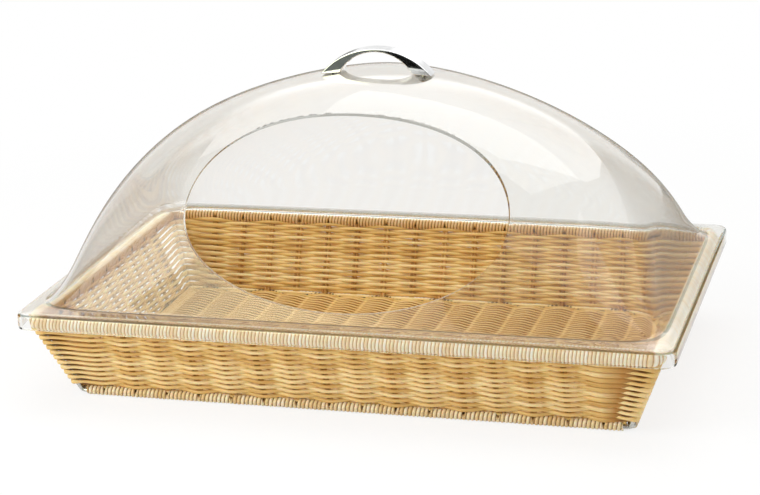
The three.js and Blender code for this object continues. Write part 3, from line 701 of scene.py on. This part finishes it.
def plated_wire_material():
    material, tree = empty_material("nickel_plated_steel_wire")
    body = add(tree, "TexCoord", out="Object")
    marks = add(tree, "TexNoise", {"Vector": body, "Scale": 1 / (1.5 * MM), "Detail": 4.0})
    dull = add(tree, "MapRange", {"Value": marks, "To Min": 0.18, "To Max": 0.38})
    colour = colour_steps(tree, marks, [(0.3, "#A9A8A2"), (0.6, "#C6C5BF"), (0.8, "#D6D5D0")])
    bump = add(tree, "Bump", {"Height": marks, "Strength": 0.1, "Distance": 0.05 * MM})
    shader = add(
        tree,
        "BsdfPrincipled",
        {"Base Color": colour, "Metallic": 1.0, "Roughness": dull, "Normal": bump},
    )
    return finished(material, shader)


plated_wire = plated_wire_material()


def ring_run(ring, wire, bend):
    """A closed wire with four round bends, as one run of rings of points."""
    path = []
    for corner, (sx, sy) in enumerate([(1, 1), (-1, 1), (-1, -1), (1, -1)]):
        for step in range(BEND_SPOTS + 1):
            turn = (corner + step / BEND_SPOTS) * math.pi / 2
            x = sx * (ring[0] - bend) + bend * math.cos(turn)
            y = sy * (ring[1] - bend) + bend * math.sin(turn)
            path.append((x, y, ring[2]))
    path = np.array(path)
    return tube(path, wire / 2, WIRE_SIDES, True), True, 0.5, lengths_along(path)


def post_run(sx, sy):
    """A leaning post, whose ends sink a little way into the rings, as a weld does."""
    heights = (BASE_RING[2] + BASE_WIRE / 2 - WELD, RIM_RING[2] - RIM_WIRE / 2 + WELD)
    path = []
    for z in np.linspace(*heights, POST_SPOTS):
        x, y = post_place(z)
        path.append((sx * x, sy * y, z))
    path = np.array(path)
    return tube(path, POST_WIRE / 2, WIRE_SIDES, level=(1, 0, 0)), False, 0.5, lengths_along(path)


wire_frame = skinned_object(
    "bent_wire_frame",
    [ring_run(RIM_RING, RIM_WIRE, RIM_BEND), ring_run(BASE_RING, BASE_WIRE, BASE_BEND)]
    + [post_run(sx, sy) for sx in (-1, 1) for sy in (-1, 1)],
    plated_wire,
)
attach(wire_frame, "basket")
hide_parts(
    "rim_frame_wire",
    "base_frame_wire",
    *[f"corner_post_{a}_{b}" for a in ("front", "back") for b in ("left", "right")],
)

# %% [markdown]
# ## The clear cover
# The cover is one sheet of clear acrylic, 3 mm thick, heated and blown through an oblong frame. So it is
# tightest and roundest at the crown, and square at its foot, where it runs out into a flat flange with a
# turned-down lip: slowly at its two ends, and almost at once along the front and back. The oval opening
# is cut out of the front afterwards. The sheet is a loft: rings of points from the lip up the outside,
# over the crown and back down inside.

# %% Cover sizes
COVER_LENGTH, COVER_WIDTH, COVER_WALL = 541.0, 333.0, 3.0
FLANGE_WIDTH = np.array([21.5, 20.0])
LIP_DROP, FLANGE_CORNER, LIP_ROUND = 10.0, 12.0, 3.5
FOLD_LOW, FOLD_HIGH = 1.9, 0.5
DOME_RISE, FOOT_FLARE, FLARE_FADE = 172.5, 4.0, 5.4
FOOT_REACH, FOOT_HEIGHT = np.array([14.0, 3.0]), 28.0
FLANGE_TOP = RIM_TOP + SLIP + COVER_WALL
CROWN = FLANGE_TOP + DOME_RISE
FOOT_HALF = np.array([COVER_LENGTH, COVER_WIDTH]) / 2 - FLANGE_WIDTH
FULL, DROOP = np.array([1.8, 3.0]), np.array([2.28, 1.4])
OPENING_LENGTH, OPENING_HEIGHT, OPENING_ABOVE = 268.0, 144.0, 8.5
OPENING_MIDDLE = FLANGE_TOP + OPENING_ABOVE + OPENING_HEIGHT / 2
LIP_RINGS, FOOT_RINGS, DOME_RINGS, COVER_SIDES = 7, 14, 64, 256
print("crown of the dome at", CROWN, "mm, middle of the opening at", OPENING_MIDDLE, "mm")


def dome_ring(turns, share, spread=0.0):
    """A level ring of the dome's outer skin, share of its rise above the flange."""
    section = [max(0.0, 1 - share**droop) ** (1 / full) for droop, full in zip(DROOP, FULL)]
    half = (FOOT_HALF - FOOT_FLARE) * section + FOOT_FLARE * (1 - share) ** FLARE_FADE + spread
    # The outline is a superellipse. Its power is 2, an ellipse, at the crown, and 16 at the foot.
    square = 2 + 6 * (1 - share) ** 2.5 + 8 * (1 - share) ** 12
    c, s = np.cos(turns), np.sin(turns)
    reach = (np.abs(c) ** square + np.abs(s) ** square) ** (1 / square)
    height = np.full(len(turns), FLANGE_TOP + DOME_RISE * share)
    return np.column_stack([half[0] * c / reach, half[1] * s / reach, height])


def flat_ring(turns, inset, z):
    """A rounded rectangle inside the flange's edge by inset."""
    half = np.array([COVER_LENGTH, COVER_WIDTH]) / 2 - inset
    corner = FLANGE_CORNER - inset
    c, s = np.cos(turns), np.sin(turns)
    reach = np.maximum(np.abs(c), np.abs(s))
    xy = np.column_stack([half[0] * c / reach, half[1] * s / reach])
    centre = np.sign(xy) * (half - corner)
    away = xy - centre
    outside = (np.abs(xy) > half - corner).all(1)
    away[outside] *= (corner / np.linalg.norm(away[outside], axis=1))[:, None]
    xy[outside] = (centre + away)[outside]
    return np.column_stack([xy, np.full(len(turns), z)])


def crowded_turns(sides):
    """Directions round the dome, closer together where its corners turn."""
    quarter, crowding = sides // 4, 1.6
    across = np.arange(quarter) / quarter * 2 - 1
    bunched = (1 + np.sign(across) * np.abs(across) ** crowding) / 2
    return np.concatenate([(k + bunched) * math.pi / 2 for k in range(4)])


# %% [markdown]
# The sheet keeps its thickness, so the inner skin is the outer one moved inwards along its normals. The
# normals come from the neighbouring points of the grid of rings.

# %% Loft the cover


def outer_rings(turns):
    """The outer skin: round the fold above the lip, up the flared foot, and over the dome."""
    rings = []
    for bend in np.linspace(0, math.pi / 2, LIP_RINGS):
        inset = LIP_ROUND * (1 - math.cos(bend))
        rings.append(flat_ring(turns, inset, FLANGE_TOP - LIP_ROUND * (1 - math.sin(bend))))
    foot = FOOT_HEIGHT / DOME_RISE
    for bend in np.linspace(0, math.pi / 2, FOOT_RINGS, endpoint=False):
        rings.append(dome_ring(turns, foot * (1 - math.cos(bend)), FOOT_REACH * (1 - math.sin(bend))))
    for k in range(DOME_RINGS):
        rings.append(dome_ring(turns, foot + (1 - foot) * math.sin(k / DOME_RINGS * math.pi / 2)))
    return np.array(rings)


def inner_rings(outer, crown):
    """The outer rings moved in by the sheet's thickness, along the normals of their grid."""
    closed = np.concatenate([outer, np.broadcast_to(crown, (1, *outer.shape[1:]))])
    around = np.roll(closed, -1, 1) - np.roll(closed, 1, 1)
    upward = np.gradient(closed, axis=0)
    normal = np.cross(around[:-1], upward[:-1])
    normal /= np.linalg.norm(normal, axis=2)[:, :, None]
    return outer - COVER_WALL * normal


def cover_mesh(name):
    """The uncut sheet. Its outer and inner skins are joined below the lip, and each has a crown point."""
    turns = crowded_turns(COVER_SIDES)
    outer = outer_rings(turns)
    inner = inner_rings(outer, (0, 0, CROWN))[LIP_RINGS:]
    ceiling = FLANGE_TOP - COVER_WALL
    lip_low = ceiling - LIP_DROP
    low = [flat_ring(turns, inset, lip_low) for inset in (COVER_WALL, COVER_WALL / 2, 0.0)]
    under = [flat_ring(turns, COVER_WALL, z) for z in (ceiling, (ceiling + lip_low) / 2)]
    front = np.concatenate([low, outer])
    back = np.concatenate([inner[::-1], under])
    count = len(turns)
    crowns = [(0, 0, CROWN), (0, 0, CROWN - COVER_WALL)]
    points = np.concatenate([front.reshape(-1, 3), crowns, back.reshape(-1, 3)])
    top, under_top = len(front) * count, len(front) * count + 1
    start = under_top + 1
    faces = [f for f in skin(front, False) if len(f) == 4]
    faces += [[start + k for k in f] for f in skin(back, False) if len(f) == 4]
    last = (len(front) - 1) * count
    end = start + (len(back) - 1) * count
    for k in range(count):
        after = (k + 1) % count
        faces.append([last + k, last + after, top])
        faces.append([start + after, start + k, under_top])
        faces.append([end + k, end + after, after, k])
    mesh = bpy.data.meshes.new(name)
    mesh.from_pydata((points * MM).tolist(), [], faces)
    mesh.validate()
    return mesh


# %% [markdown]
# The opening is routed out with a jig, square to the long side, so an oval bar is taken away from the
# front half of the dome. The faces that this leaves are the cut edge, and they get a finish of their own.

# %% Cut the opening
OVAL_SIDES, OVAL_SLACK, COVER_ANGLE = 160, 0.002, 35.0
CUT_FROM = -COVER_WIDTH / 2 - 5


def opening_cutter():
    """An oval bar along Y that reaches from outside the front of the dome to its middle."""
    turn = np.arange(OVAL_SIDES) / OVAL_SIDES * 2 * math.pi
    x = OPENING_LENGTH / 2 * np.cos(turn)
    z = OPENING_MIDDLE + OPENING_HEIGHT / 2 * np.sin(turn)
    rings = np.array([np.column_stack([x, np.full(OVAL_SIDES, y), z]) for y in (CUT_FROM, 0)])
    return ringed_object("opening_cutter", rings)


def on_the_oval(corner):
    """Whether a corner of the mesh, in metres, lies on the oval's outline in the front half."""
    across = 2 * corner.x / MM / OPENING_LENGTH
    upward = 2 * (corner.z / MM - OPENING_MIDDLE) / OPENING_HEIGHT
    return corner.y < 0 and abs(math.hypot(across, upward) - 1) < OVAL_SLACK


def cut_cover(name, sheet, edge):
    cover = placed(name, cover_mesh(name))
    cutter = opening_cutter()
    cut = cover.modifiers.new("oval_opening", "BOOLEAN")
    cut.operation = "DIFFERENCE"
    cut.solver = "EXACT"
    cut.object = cutter
    done = bpy.data.meshes.new_from_object(cover.evaluated_get(bpy.context.evaluated_depsgraph_get()))
    cover.modifiers.clear()
    cover.data = done
    bpy.data.objects.remove(cutter)
    done.materials.clear()
    done.materials.append(sheet)
    done.materials.append(edge)
    on_edge = [on_the_oval(corner.co) for corner in done.vertices]
    cut_faces = [face for face in done.polygons if all(on_edge[k] for k in face.vertices)]
    for face in cut_faces:
        face.material_index = 1
    print(f"{len(cut_faces)} faces along the cut edge")
    done.polygons.foreach_set("use_smooth", np.ones(len(done.polygons), bool))
    done.set_sharp_from_angle(angle=math.radians(COVER_ANGLE))
    print(f"{name}: {len(done.polygons)} faces after the opening is cut")
    return cover


# %% [markdown]
# ## Clear acrylic
# Cast acrylic has an IOR of 1.49 and a smooth, glossy face. Each pass through the sheet costs a little
# light, and more at a slant, where the sheet also mirrors its darker surroundings. Here the soft grey
# band just inside the dome's outline is painted shade: Layer Weight gives the slant, and a ramp of
# painted greys turns it into the sheet's colour. A path tracer finds no way for lamp light through
# glass, so rays that only ask for light pass straight through, dimmed a little. Light that has been
# mirrored twice on its way is let through as well, because a real sheet never goes black.

# %% Clear acrylic
ACRYLIC_IOR, MOST_MIRRORINGS = 1.49, 1.5
# Painted shade: the sheet's grey, by how far it slants from the eye, from facing to edge on.
SLANT_PAINTED_GREYS = [
    (0.0, "#F7F7F5"),
    (0.4, "#F6F6F4"),
    (0.58, "#E3E2DE"),
    (0.66, "#E7E6E2"),
    (0.75, "#EDECE8"),
    (0.83, "#E2E2DE"),
    (0.92, "#C0C4C0"),
]


def pass_through(tree, glass):
    """A mix that lets shadow, diffuse and twice mirrored rays go straight through a sheet."""
    path = add(tree, "LightPath").node
    asking = path.outputs["Is Shadow Ray"]
    mirrorings = {0: path.outputs["Glossy Depth"], 1: MOST_MIRRORINGS}
    mirrored = add(tree, "Math", mirrorings, operation="GREATER_THAN")
    for other in (path.outputs["Is Diffuse Ray"], mirrored):
        asking = add(tree, "Math", {0: asking, 1: other}, operation="MAXIMUM")
    through = add(tree, "BsdfTransparent", {"Color": srgb("#FAFAF8")})
    return add(tree, "MixShader", {0: asking, 1: glass, 2: through})


def clear_acrylic_material():
    material, tree = empty_material("clear_cast_acrylic")
    body = add(tree, "TexCoord", out="Object")
    waves = add(tree, "TexNoise", {"Vector": body, "Scale": 1 / (70 * MM), "Detail": 1.0})
    haze = add(tree, "TexNoise", {"Vector": body, "Scale": 1 / (30 * MM), "Detail": 4.0})
    worn = add(tree, "MapRange", {"Value": haze, "To Min": 0.0, "To Max": 0.05})
    blown = add(tree, "Bump", {"Height": waves, "Strength": 0.15, "Distance": 0.4 * MM})
    slant = add(tree, "LayerWeight", {"Blend": 0.5}, out="Facing")
    painted_grey = colour_steps(tree, slant, SLANT_PAINTED_GREYS)
    # Along the fold above the lip the eye looks through the sheet's own length; a grey line is painted there
    # as painted shade.
    height = add(tree, "SeparateXYZ", {0: body}, out="Z")
    fold = []
    for off, order in ((FOLD_LOW, "GREATER_THAN"), (FOLD_HIGH, "LESS_THAN")):
        limit = {0: height, 1: (FLANGE_TOP - off) * MM}
        fold.append(add(tree, "Math", limit, operation=order))
    band = add(tree, "Math", {0: fold[0], 1: fold[1]}, operation="MULTIPLY")
    painted_grey = add(tree, "Mix", {0: band, 6: painted_grey, 7: srgb("#8A948F")}, data_type="RGBA", out=2)
    sheet = add(
        tree,
        "BsdfPrincipled",
        {
            "Base Color": painted_grey,
            "Roughness": worn,
            "IOR": ACRYLIC_IOR,
            "Transmission Weight": 1.0,
            "Normal": blown,
        },
    )
    return finished(material, pass_through(tree, sheet))


def cut_edge_material():
    """The edge that the router leaves: clear from the air, and painted dark, as painted shade, where it is
    seen from inside the sheet.
    """
    material, tree = empty_material("routed_acrylic_edge")
    spot = add(tree, "TexCoord", out="Object")
    scores = add(tree, "TexNoise", {"Vector": spot, "Scale": 1 / (0.8 * MM), "Detail": 3.0})
    bright = colour_steps(tree, scores, [(0.35, "#ECE6D8"), (0.65, "#FAF6EA")])
    # Painted shade: a dark grey-green for the edge where it is seen from inside the sheet.
    dark = colour_steps(tree, scores, [(0.35, "#333A36"), (0.65, "#4B534E")])
    bump = add(tree, "Bump", {"Height": scores, "Strength": 0.3, "Distance": 0.1 * MM})
    edge = add(
        tree,
        "BsdfPrincipled",
        {
            "Base Color": bright,
            "Roughness": 0.25,
            "IOR": ACRYLIC_IOR,
            "Transmission Weight": 0.95,
            "Normal": bump,
        },
    )
    painted_dark_edge = add(tree, "BsdfDiffuse", {"Color": dark})
    clear = add(tree, "BsdfTransparent", {"Color": srgb("#F4F4F0")})
    from_inside = add(tree, "MixShader", {0: 0.55, 1: painted_dark_edge, 2: clear})
    turned = add(tree, "NewGeometry", out="Backfacing")
    sides = add(tree, "MixShader", {0: turned, 1: edge, 2: from_inside})
    return finished(material, pass_through(tree, sides))


cover = cut_cover("clear_domed_cover", clear_acrylic_material(), cut_edge_material())
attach(cover, "cover")
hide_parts("dome_cover")

# %% [markdown]
# ## The handle
# The bow handle is die cast, polished and chrome plated: a flat band, thin at the crown and thick at the
# feet, which rest on the dome. Its outline is two arcs. Extruded and bevelled, the edges catch light.

# %% Handle
HANDLE_LENGTH, HANDLE_WIDTH, HANDLE_RISE = 95.4, 15.0, 19.0
HANDLE_CROWN, HANDLE_SPAN, HANDLE_TIP = 2.5, 62.0, 0.9
HANDLE_STEPS, HANDLE_EDGE, EDGE_STEPS, EDGE_ANGLE = 72, 0.7, 4, 40.0


def ridge_height(x):
    """The height of the dome's outer skin above its long middle line."""
    span = abs(x) / (FOOT_HALF[0] - FOOT_FLARE)
    return FLANGE_TOP + DOME_RISE * (1 - span ** FULL[0]) ** (1 / DROOP[0])


def arc(half_chord, low, high):
    """An arc over the middle, as rows of x and z, from its ends' height up to its top."""
    rise = high - low
    radius = (half_chord**2 + rise**2) / (2 * rise)
    sweep = math.asin(half_chord / radius)
    turn = np.linspace(-sweep, sweep, HANDLE_STEPS)
    return np.column_stack([radius * np.sin(turn), high - radius * (1 - np.cos(turn))])


def bow_handle(name, material):
    top = CROWN + HANDLE_RISE
    tip = ridge_height(HANDLE_LENGTH / 2) + SLIP
    heel = ridge_height(HANDLE_SPAN / 2) + SLIP
    outer = arc(HANDLE_LENGTH / 2, tip + HANDLE_TIP, top)
    inner = arc(HANDLE_SPAN / 2, heel, top - HANDLE_CROWN)
    half = HANDLE_WIDTH / 2
    rings = []
    for (ox, oz), (ix, iz) in zip(outer, inner):
        rings.append([(ox, -half, oz), (ox, half, oz), (ix, half, iz), (ix, -half, iz)])
    bow = ringed_object(name, np.array(rings))
    bow.data.materials.append(material)
    bow.data.polygons.foreach_set("use_smooth", np.ones(len(bow.data.polygons), bool))
    soften = bow.modifiers.new("polished_edges", "BEVEL")
    soften.width = HANDLE_EDGE * MM
    soften.segments = EDGE_STEPS
    soften.limit_method = "ANGLE"
    soften.angle_limit = math.radians(EDGE_ANGLE)
    soften.harden_normals = True
    print(f"{name}: {len(bow.data.polygons)} faces before its edges are rounded")
    return bow


def chrome_material():
    material, tree = empty_material("polished_chrome_plate")
    body = add(tree, "TexCoord", out="Object")
    smudges = add(tree, "TexNoise", {"Vector": body, "Scale": 1 / (9 * MM), "Detail": 5.0})
    dull = add(tree, "MapRange", {"Value": smudges, "To Min": 0.03, "To Max": 0.1})
    colour = colour_steps(tree, smudges, [(0.35, "#DADBDB"), (0.65, "#E9EAEA")])
    finish = {"Base Color": colour, "Metallic": 1.0, "Roughness": dull}
    return finished(material, add(tree, "BsdfPrincipled", finish))


chrome = chrome_material()
handle = bow_handle("chrome_bow_handle", chrome)
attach(handle, "cover")
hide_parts("handle_bow")

# %% [markdown]
# ## Screws and washers
# Two pan head screws with washers hold the handle from inside the dome. Their solids already have the
# right shape, so they only get a finish, the plated steel of the wire.

# %% Screws and washers
for node_name in ("handle_screw_left", "handle_screw_right", "screw_washer_left", "screw_washer_right"):
    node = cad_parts[node_name]
    node.data.materials.clear()
    node.data.materials.append(plated_wire)
print("screws and washers take the plated finish")

# %% [markdown]
# ## Table and backdrop
# The photograph is a cut-out on white, lit softly from the upper left, with a weaker light from the
# right. The table is a pale plane that still takes the basket's shadow. The world is white to the camera
# and to anything glossy or clear, and dimmer as a source of light, so the colours stay as written.

# %% Table and world
TABLE_HALF, TABLE_GLOW, FADE_START, FADE_END = 6.0, 0.8, 0.35, 0.95
TABLE_SPECK, SKY_LIGHT = 2.5, 0.45
WHITE = (1, 1, 1, 1)


def white_to_the_eye(tree, lit, white):
    """A mix that shows white to camera, mirror and glass rays, and the lit shader to the others."""
    path = add(tree, "LightPath").node
    eye = path.outputs["Is Camera Ray"]
    for kind in ("Is Glossy Ray", "Is Transmission Ray"):
        eye = add(tree, "Math", {0: eye, 1: path.outputs[kind]}, operation="MAXIMUM")
    return add(tree, "MixShader", {0: eye, 1: lit, 2: white})


def matt_white_table_material():
    """Paint to the lamps. To the eye it glows nearly white, and only a shadow darkens it."""
    material, tree = empty_material("matt_white_table")
    body = add(tree, "TexCoord", out="Object")
    speck = add(tree, "TexNoise", {"Vector": body, "Scale": 1 / (TABLE_SPECK * MM), "Detail": 2.0})
    colour = colour_steps(tree, speck, [(0.3, "#F6F6F5"), (0.7, "#FBFBFA")])
    paint = add(tree, "BsdfDiffuse", {"Color": colour})
    seen_paint = add(tree, "BsdfDiffuse", {"Color": srgb("#7E7E7D")})
    glow = add(tree, "Emission", {"Color": WHITE, "Strength": TABLE_GLOW})
    near = add(tree, "AddShader", {0: seen_paint, 1: glow})
    # Far from the basket, where the lamps fade, the table shows plain white, so it has no edge or horizon.
    away = add(tree, "VectorMath", {0: body}, operation="LENGTH", out="Value")
    limits = {"Value": away, "From Min": FADE_START, "From Max": FADE_END}
    fade = add(tree, "MapRange", limits, interpolation_type="SMOOTHSTEP")
    white = add(tree, "Emission", {"Color": WHITE, "Strength": 1.0})
    both = add(tree, "MixShader", {0: fade, 1: near, 2: white})
    return finished(material, white_to_the_eye(tree, paint, both))


def table_top():
    mesh = bpy.data.meshes.new("table_top")
    builder = bmesh.new()
    bmesh.ops.create_grid(builder, x_segments=8, y_segments=8, size=TABLE_HALF)
    builder.to_mesh(mesh)
    builder.free()
    mesh.materials.append(matt_white_table_material())
    placed("table_top", mesh)
    print(f"table: {2 * TABLE_HALF} m square, plain white beyond {FADE_END} m")


def studio_world():
    world = bpy.data.worlds.new("white_studio")
    world.use_nodes = True
    tree = world.node_tree
    tree.nodes.clear()
    lit = add(tree, "Background", {"Color": WHITE, "Strength": SKY_LIGHT})
    white = add(tree, "Background", {"Color": WHITE, "Strength": 1.0})
    seen = white_to_the_eye(tree, lit, white)
    bpy.context.scene.world = finished(world, seen, "OutputWorld")


table_top()
studio_world()

# %% [markdown]
# ## Lamps
# Three soft lamps light the basket: a large one at the upper left, one above, and a small one at the
# right. They stay out of the cover's reflections, which the cards of the next step draw.

# %% Lamps
LAMP_AIM = Vector((0, 0, 0.1))


def softbox(name, place, size, radiance):
    """A rectangular area lamp aimed at the basket. radiance is how bright its face looks: 1 is white."""
    lamp = bpy.data.lights.new(name, "AREA")
    lamp.shape = "RECTANGLE"
    lamp.size, lamp.size_y = size
    lamp.energy = radiance * math.pi * size[0] * size[1]
    holder = placed(name, lamp)
    holder.location = place
    direction = LAMP_AIM - Vector(place)
    holder.rotation_euler = direction.to_track_quat("-Z", "Y").to_euler()
    holder.visible_glossy = False
    print(f"{name}: {size} m, {lamp.energy:.1f} W, {direction.length:.2f} m away")


softbox("key_light", (-1.3, -1.1, 0.95), (1.5, 1.0), 4.0)
softbox("top_light", (0.1, 0.35, 1.6), (1.5, 1.1), 1.8)
softbox("right_light", (1.5, -0.35, 0.75), (0.35, 0.9), 4.2)

# %% [markdown]
# ## Cards for the clear sheet
# A clear dome on white is seen by what it mirrors. Lit panels give the soft patches on it. Dark mats on
# the table and boards round it give the grey that shows where the sheet turns away. Only glossy rays see
# the cards, so they neither light the basket nor show through the sheet, and soft edges let most of
# them fade out. Each card is a row of values: its corners, its shade, how strongly it glows, and the
# axes that it fades along, with the shares of its box at which it is clear and full.

# %% Reflector cards
MAT_HEIGHT = 0.003


def mat(low, high):
    """The corners of a mat that lies on the table between two opposite corners, in metres."""
    return [(x, y, MAT_HEIGHT) for x, y in (low, (high[0], low[1]), high, (low[0], high[1]))]


def board(start, end, low, high):
    """The corners of an upright board over a line on the table, from one height to another, in metres."""
    return [(*start, low), (*end, low), (*end, high), (*start, high)]


OVERHEAD_PLAN = [(0.56, -0.1), (1.25, 0.95), (1.5, 1.8), (1.7, 5.0), (-2.6, 5.0), (-2.6, 0.5), (-1.5, 0.1)]
OVERHEAD = [(x, y, 1.8) for x, y in OVERHEAD_PLAN]
HIGH_WINDOW = [(0.945, 0.036, 1.53), (1.256, -0.724, 1.17), (0.523, -1.376, 1.06)]
CARDS = {
    "lit_panel": (
        board((-1.6, -1.2), (-0.39, -1.915), 0.05, 1.5), "#F8FBDC", 5.3, [("X", 0.0, 0.2), ("X", 1.0, 0.82)]
    ),
    "overhead_panel": (OVERHEAD, "#FFFFFF", 2.7, [("X", 0.0, 0.2), ("Y", 1.0, 0.7)]),
    "high_window": (HIGH_WINDOW, "#FFFFFF", 2.4, []),
    "front_card": (mat((-0.335, -2.4), (1.6, -0.5)), "#0C0C0C", 0.0, []),
    "side_card": (mat((-0.7, -1.5), (-0.335, -0.9)), "#6E726C", 0.0, []),
    "dark_wall": (board((-0.5, -2.5), (2.6, -2.5), 0.0, 1.9), "#151515", 0.0, []),
    "right_mat": (mat((0.34, -0.35), (1.9, 2.2)), "#55554F", 0.0, []),
    "right_board": (board((0.45, 1.47), (1.56, 0.63), 0.0, 0.8), "#75756F", 0.0, [("X", 0.0, 0.25)]),
    "left_board": (board((-1.557, 0.748), (-1.51, -1.018), 0.0, 1.5), "#55554F", 0.0, [("Y", 1.0, 0.8)]),
    "flag_mat": (mat((-1.9, 0.5), (0.34, 1.75)), "#A8A8A4", 0.0, []),
    "flag_board": (board((-1.9, 1.75), (0.5, 1.75), MAT_HEIGHT, 0.36), "#A8A8A4", 0.0, [("Z", 1.0, 0.6)]),
}


def soft_edge(tree, axis, start, end):
    """A fade across a card, along one axis of its box: 0 at start and 1 at end, both as shares of the box."""
    spot = add(tree, "TexCoord", out="Generated")
    along = add(tree, "SeparateXYZ", {0: spot}, out=axis)
    limits = {"Value": along, "From Min": start, "From Max": end}
    return add(tree, "MapRange", limits, interpolation_type="SMOOTHSTEP")


def reflector_card(name, corners, shade, glow, soft):
    """A card that only glossy rays see, as a photographer stands up beside shiny things."""
    mesh = bpy.data.meshes.new(name)
    mesh.from_pydata(corners, [], [tuple(range(len(corners)))])
    card = placed(name, mesh)
    material, tree = empty_material(name + "_board")
    if glow:
        face = add(tree, "Emission", {"Color": srgb(shade), "Strength": glow})
    else:
        face = add(tree, "BsdfDiffuse", {"Color": srgb(shade)})
    for fade in soft:
        clear = add(tree, "BsdfTransparent")
        face = add(tree, "MixShader", {0: soft_edge(tree, *fade), 1: clear, 2: face})
    mesh.materials.append(finished(material, face))
    card.visible_camera = False
    card.visible_diffuse = False
    card.visible_transmission = False
    card.visible_shadow = False


for card_name, card_values in CARDS.items():
    reflector_card(card_name, *card_values)
print(len(CARDS), "cards stand round the cover")

# %% [markdown]
# ## The camera
# The camera's place was worked out from the photograph: the corners of the rim and the outline of the
# dome fix where it stood, about 1.8 m away, a little to the right and above. Its lens is long, near
# 100 mm, and it is rolled by 2.3 degrees.

# %% Camera
AZIMUTH, ELEVATION, ROLL = math.radians(16.34), math.radians(17.66), math.radians(-2.33)
DISTANCE, FOCAL_PIXELS, PICTURE_WIDTH, SENSOR_WIDTH = 1.820, 2138.0, 760, 36.0
AIM_SHIFT = Vector((-0.0044, 0.0, 0.0984))


def studio_camera():
    level = math.cos(ELEVATION)
    back = Vector((math.sin(AZIMUTH) * level, -math.cos(AZIMUTH) * level, math.sin(ELEVATION)))
    right = (-back).cross(Vector((0, 0, 1))).normalized()
    up = right.cross(-back)
    rolled_right = math.cos(ROLL) * right + math.sin(ROLL) * up
    rolled_up = -math.sin(ROLL) * right + math.cos(ROLL) * up
    turn = Matrix((rolled_right, rolled_up, back)).transposed()
    data = bpy.data.cameras.new("studio_camera")
    data.sensor_width = SENSOR_WIDTH
    data.lens = FOCAL_PIXELS / PICTURE_WIDTH * SENSOR_WIDTH
    camera = placed("studio_camera", data)
    camera.matrix_world = Matrix.Translation(back * DISTANCE + AIM_SHIFT) @ turn.to_4x4()
    bpy.context.scene.camera = camera
    print(f"lens {data.lens:.1f} mm")


studio_camera()
bpy.context.scene.view_settings.view_transform = "Standard"
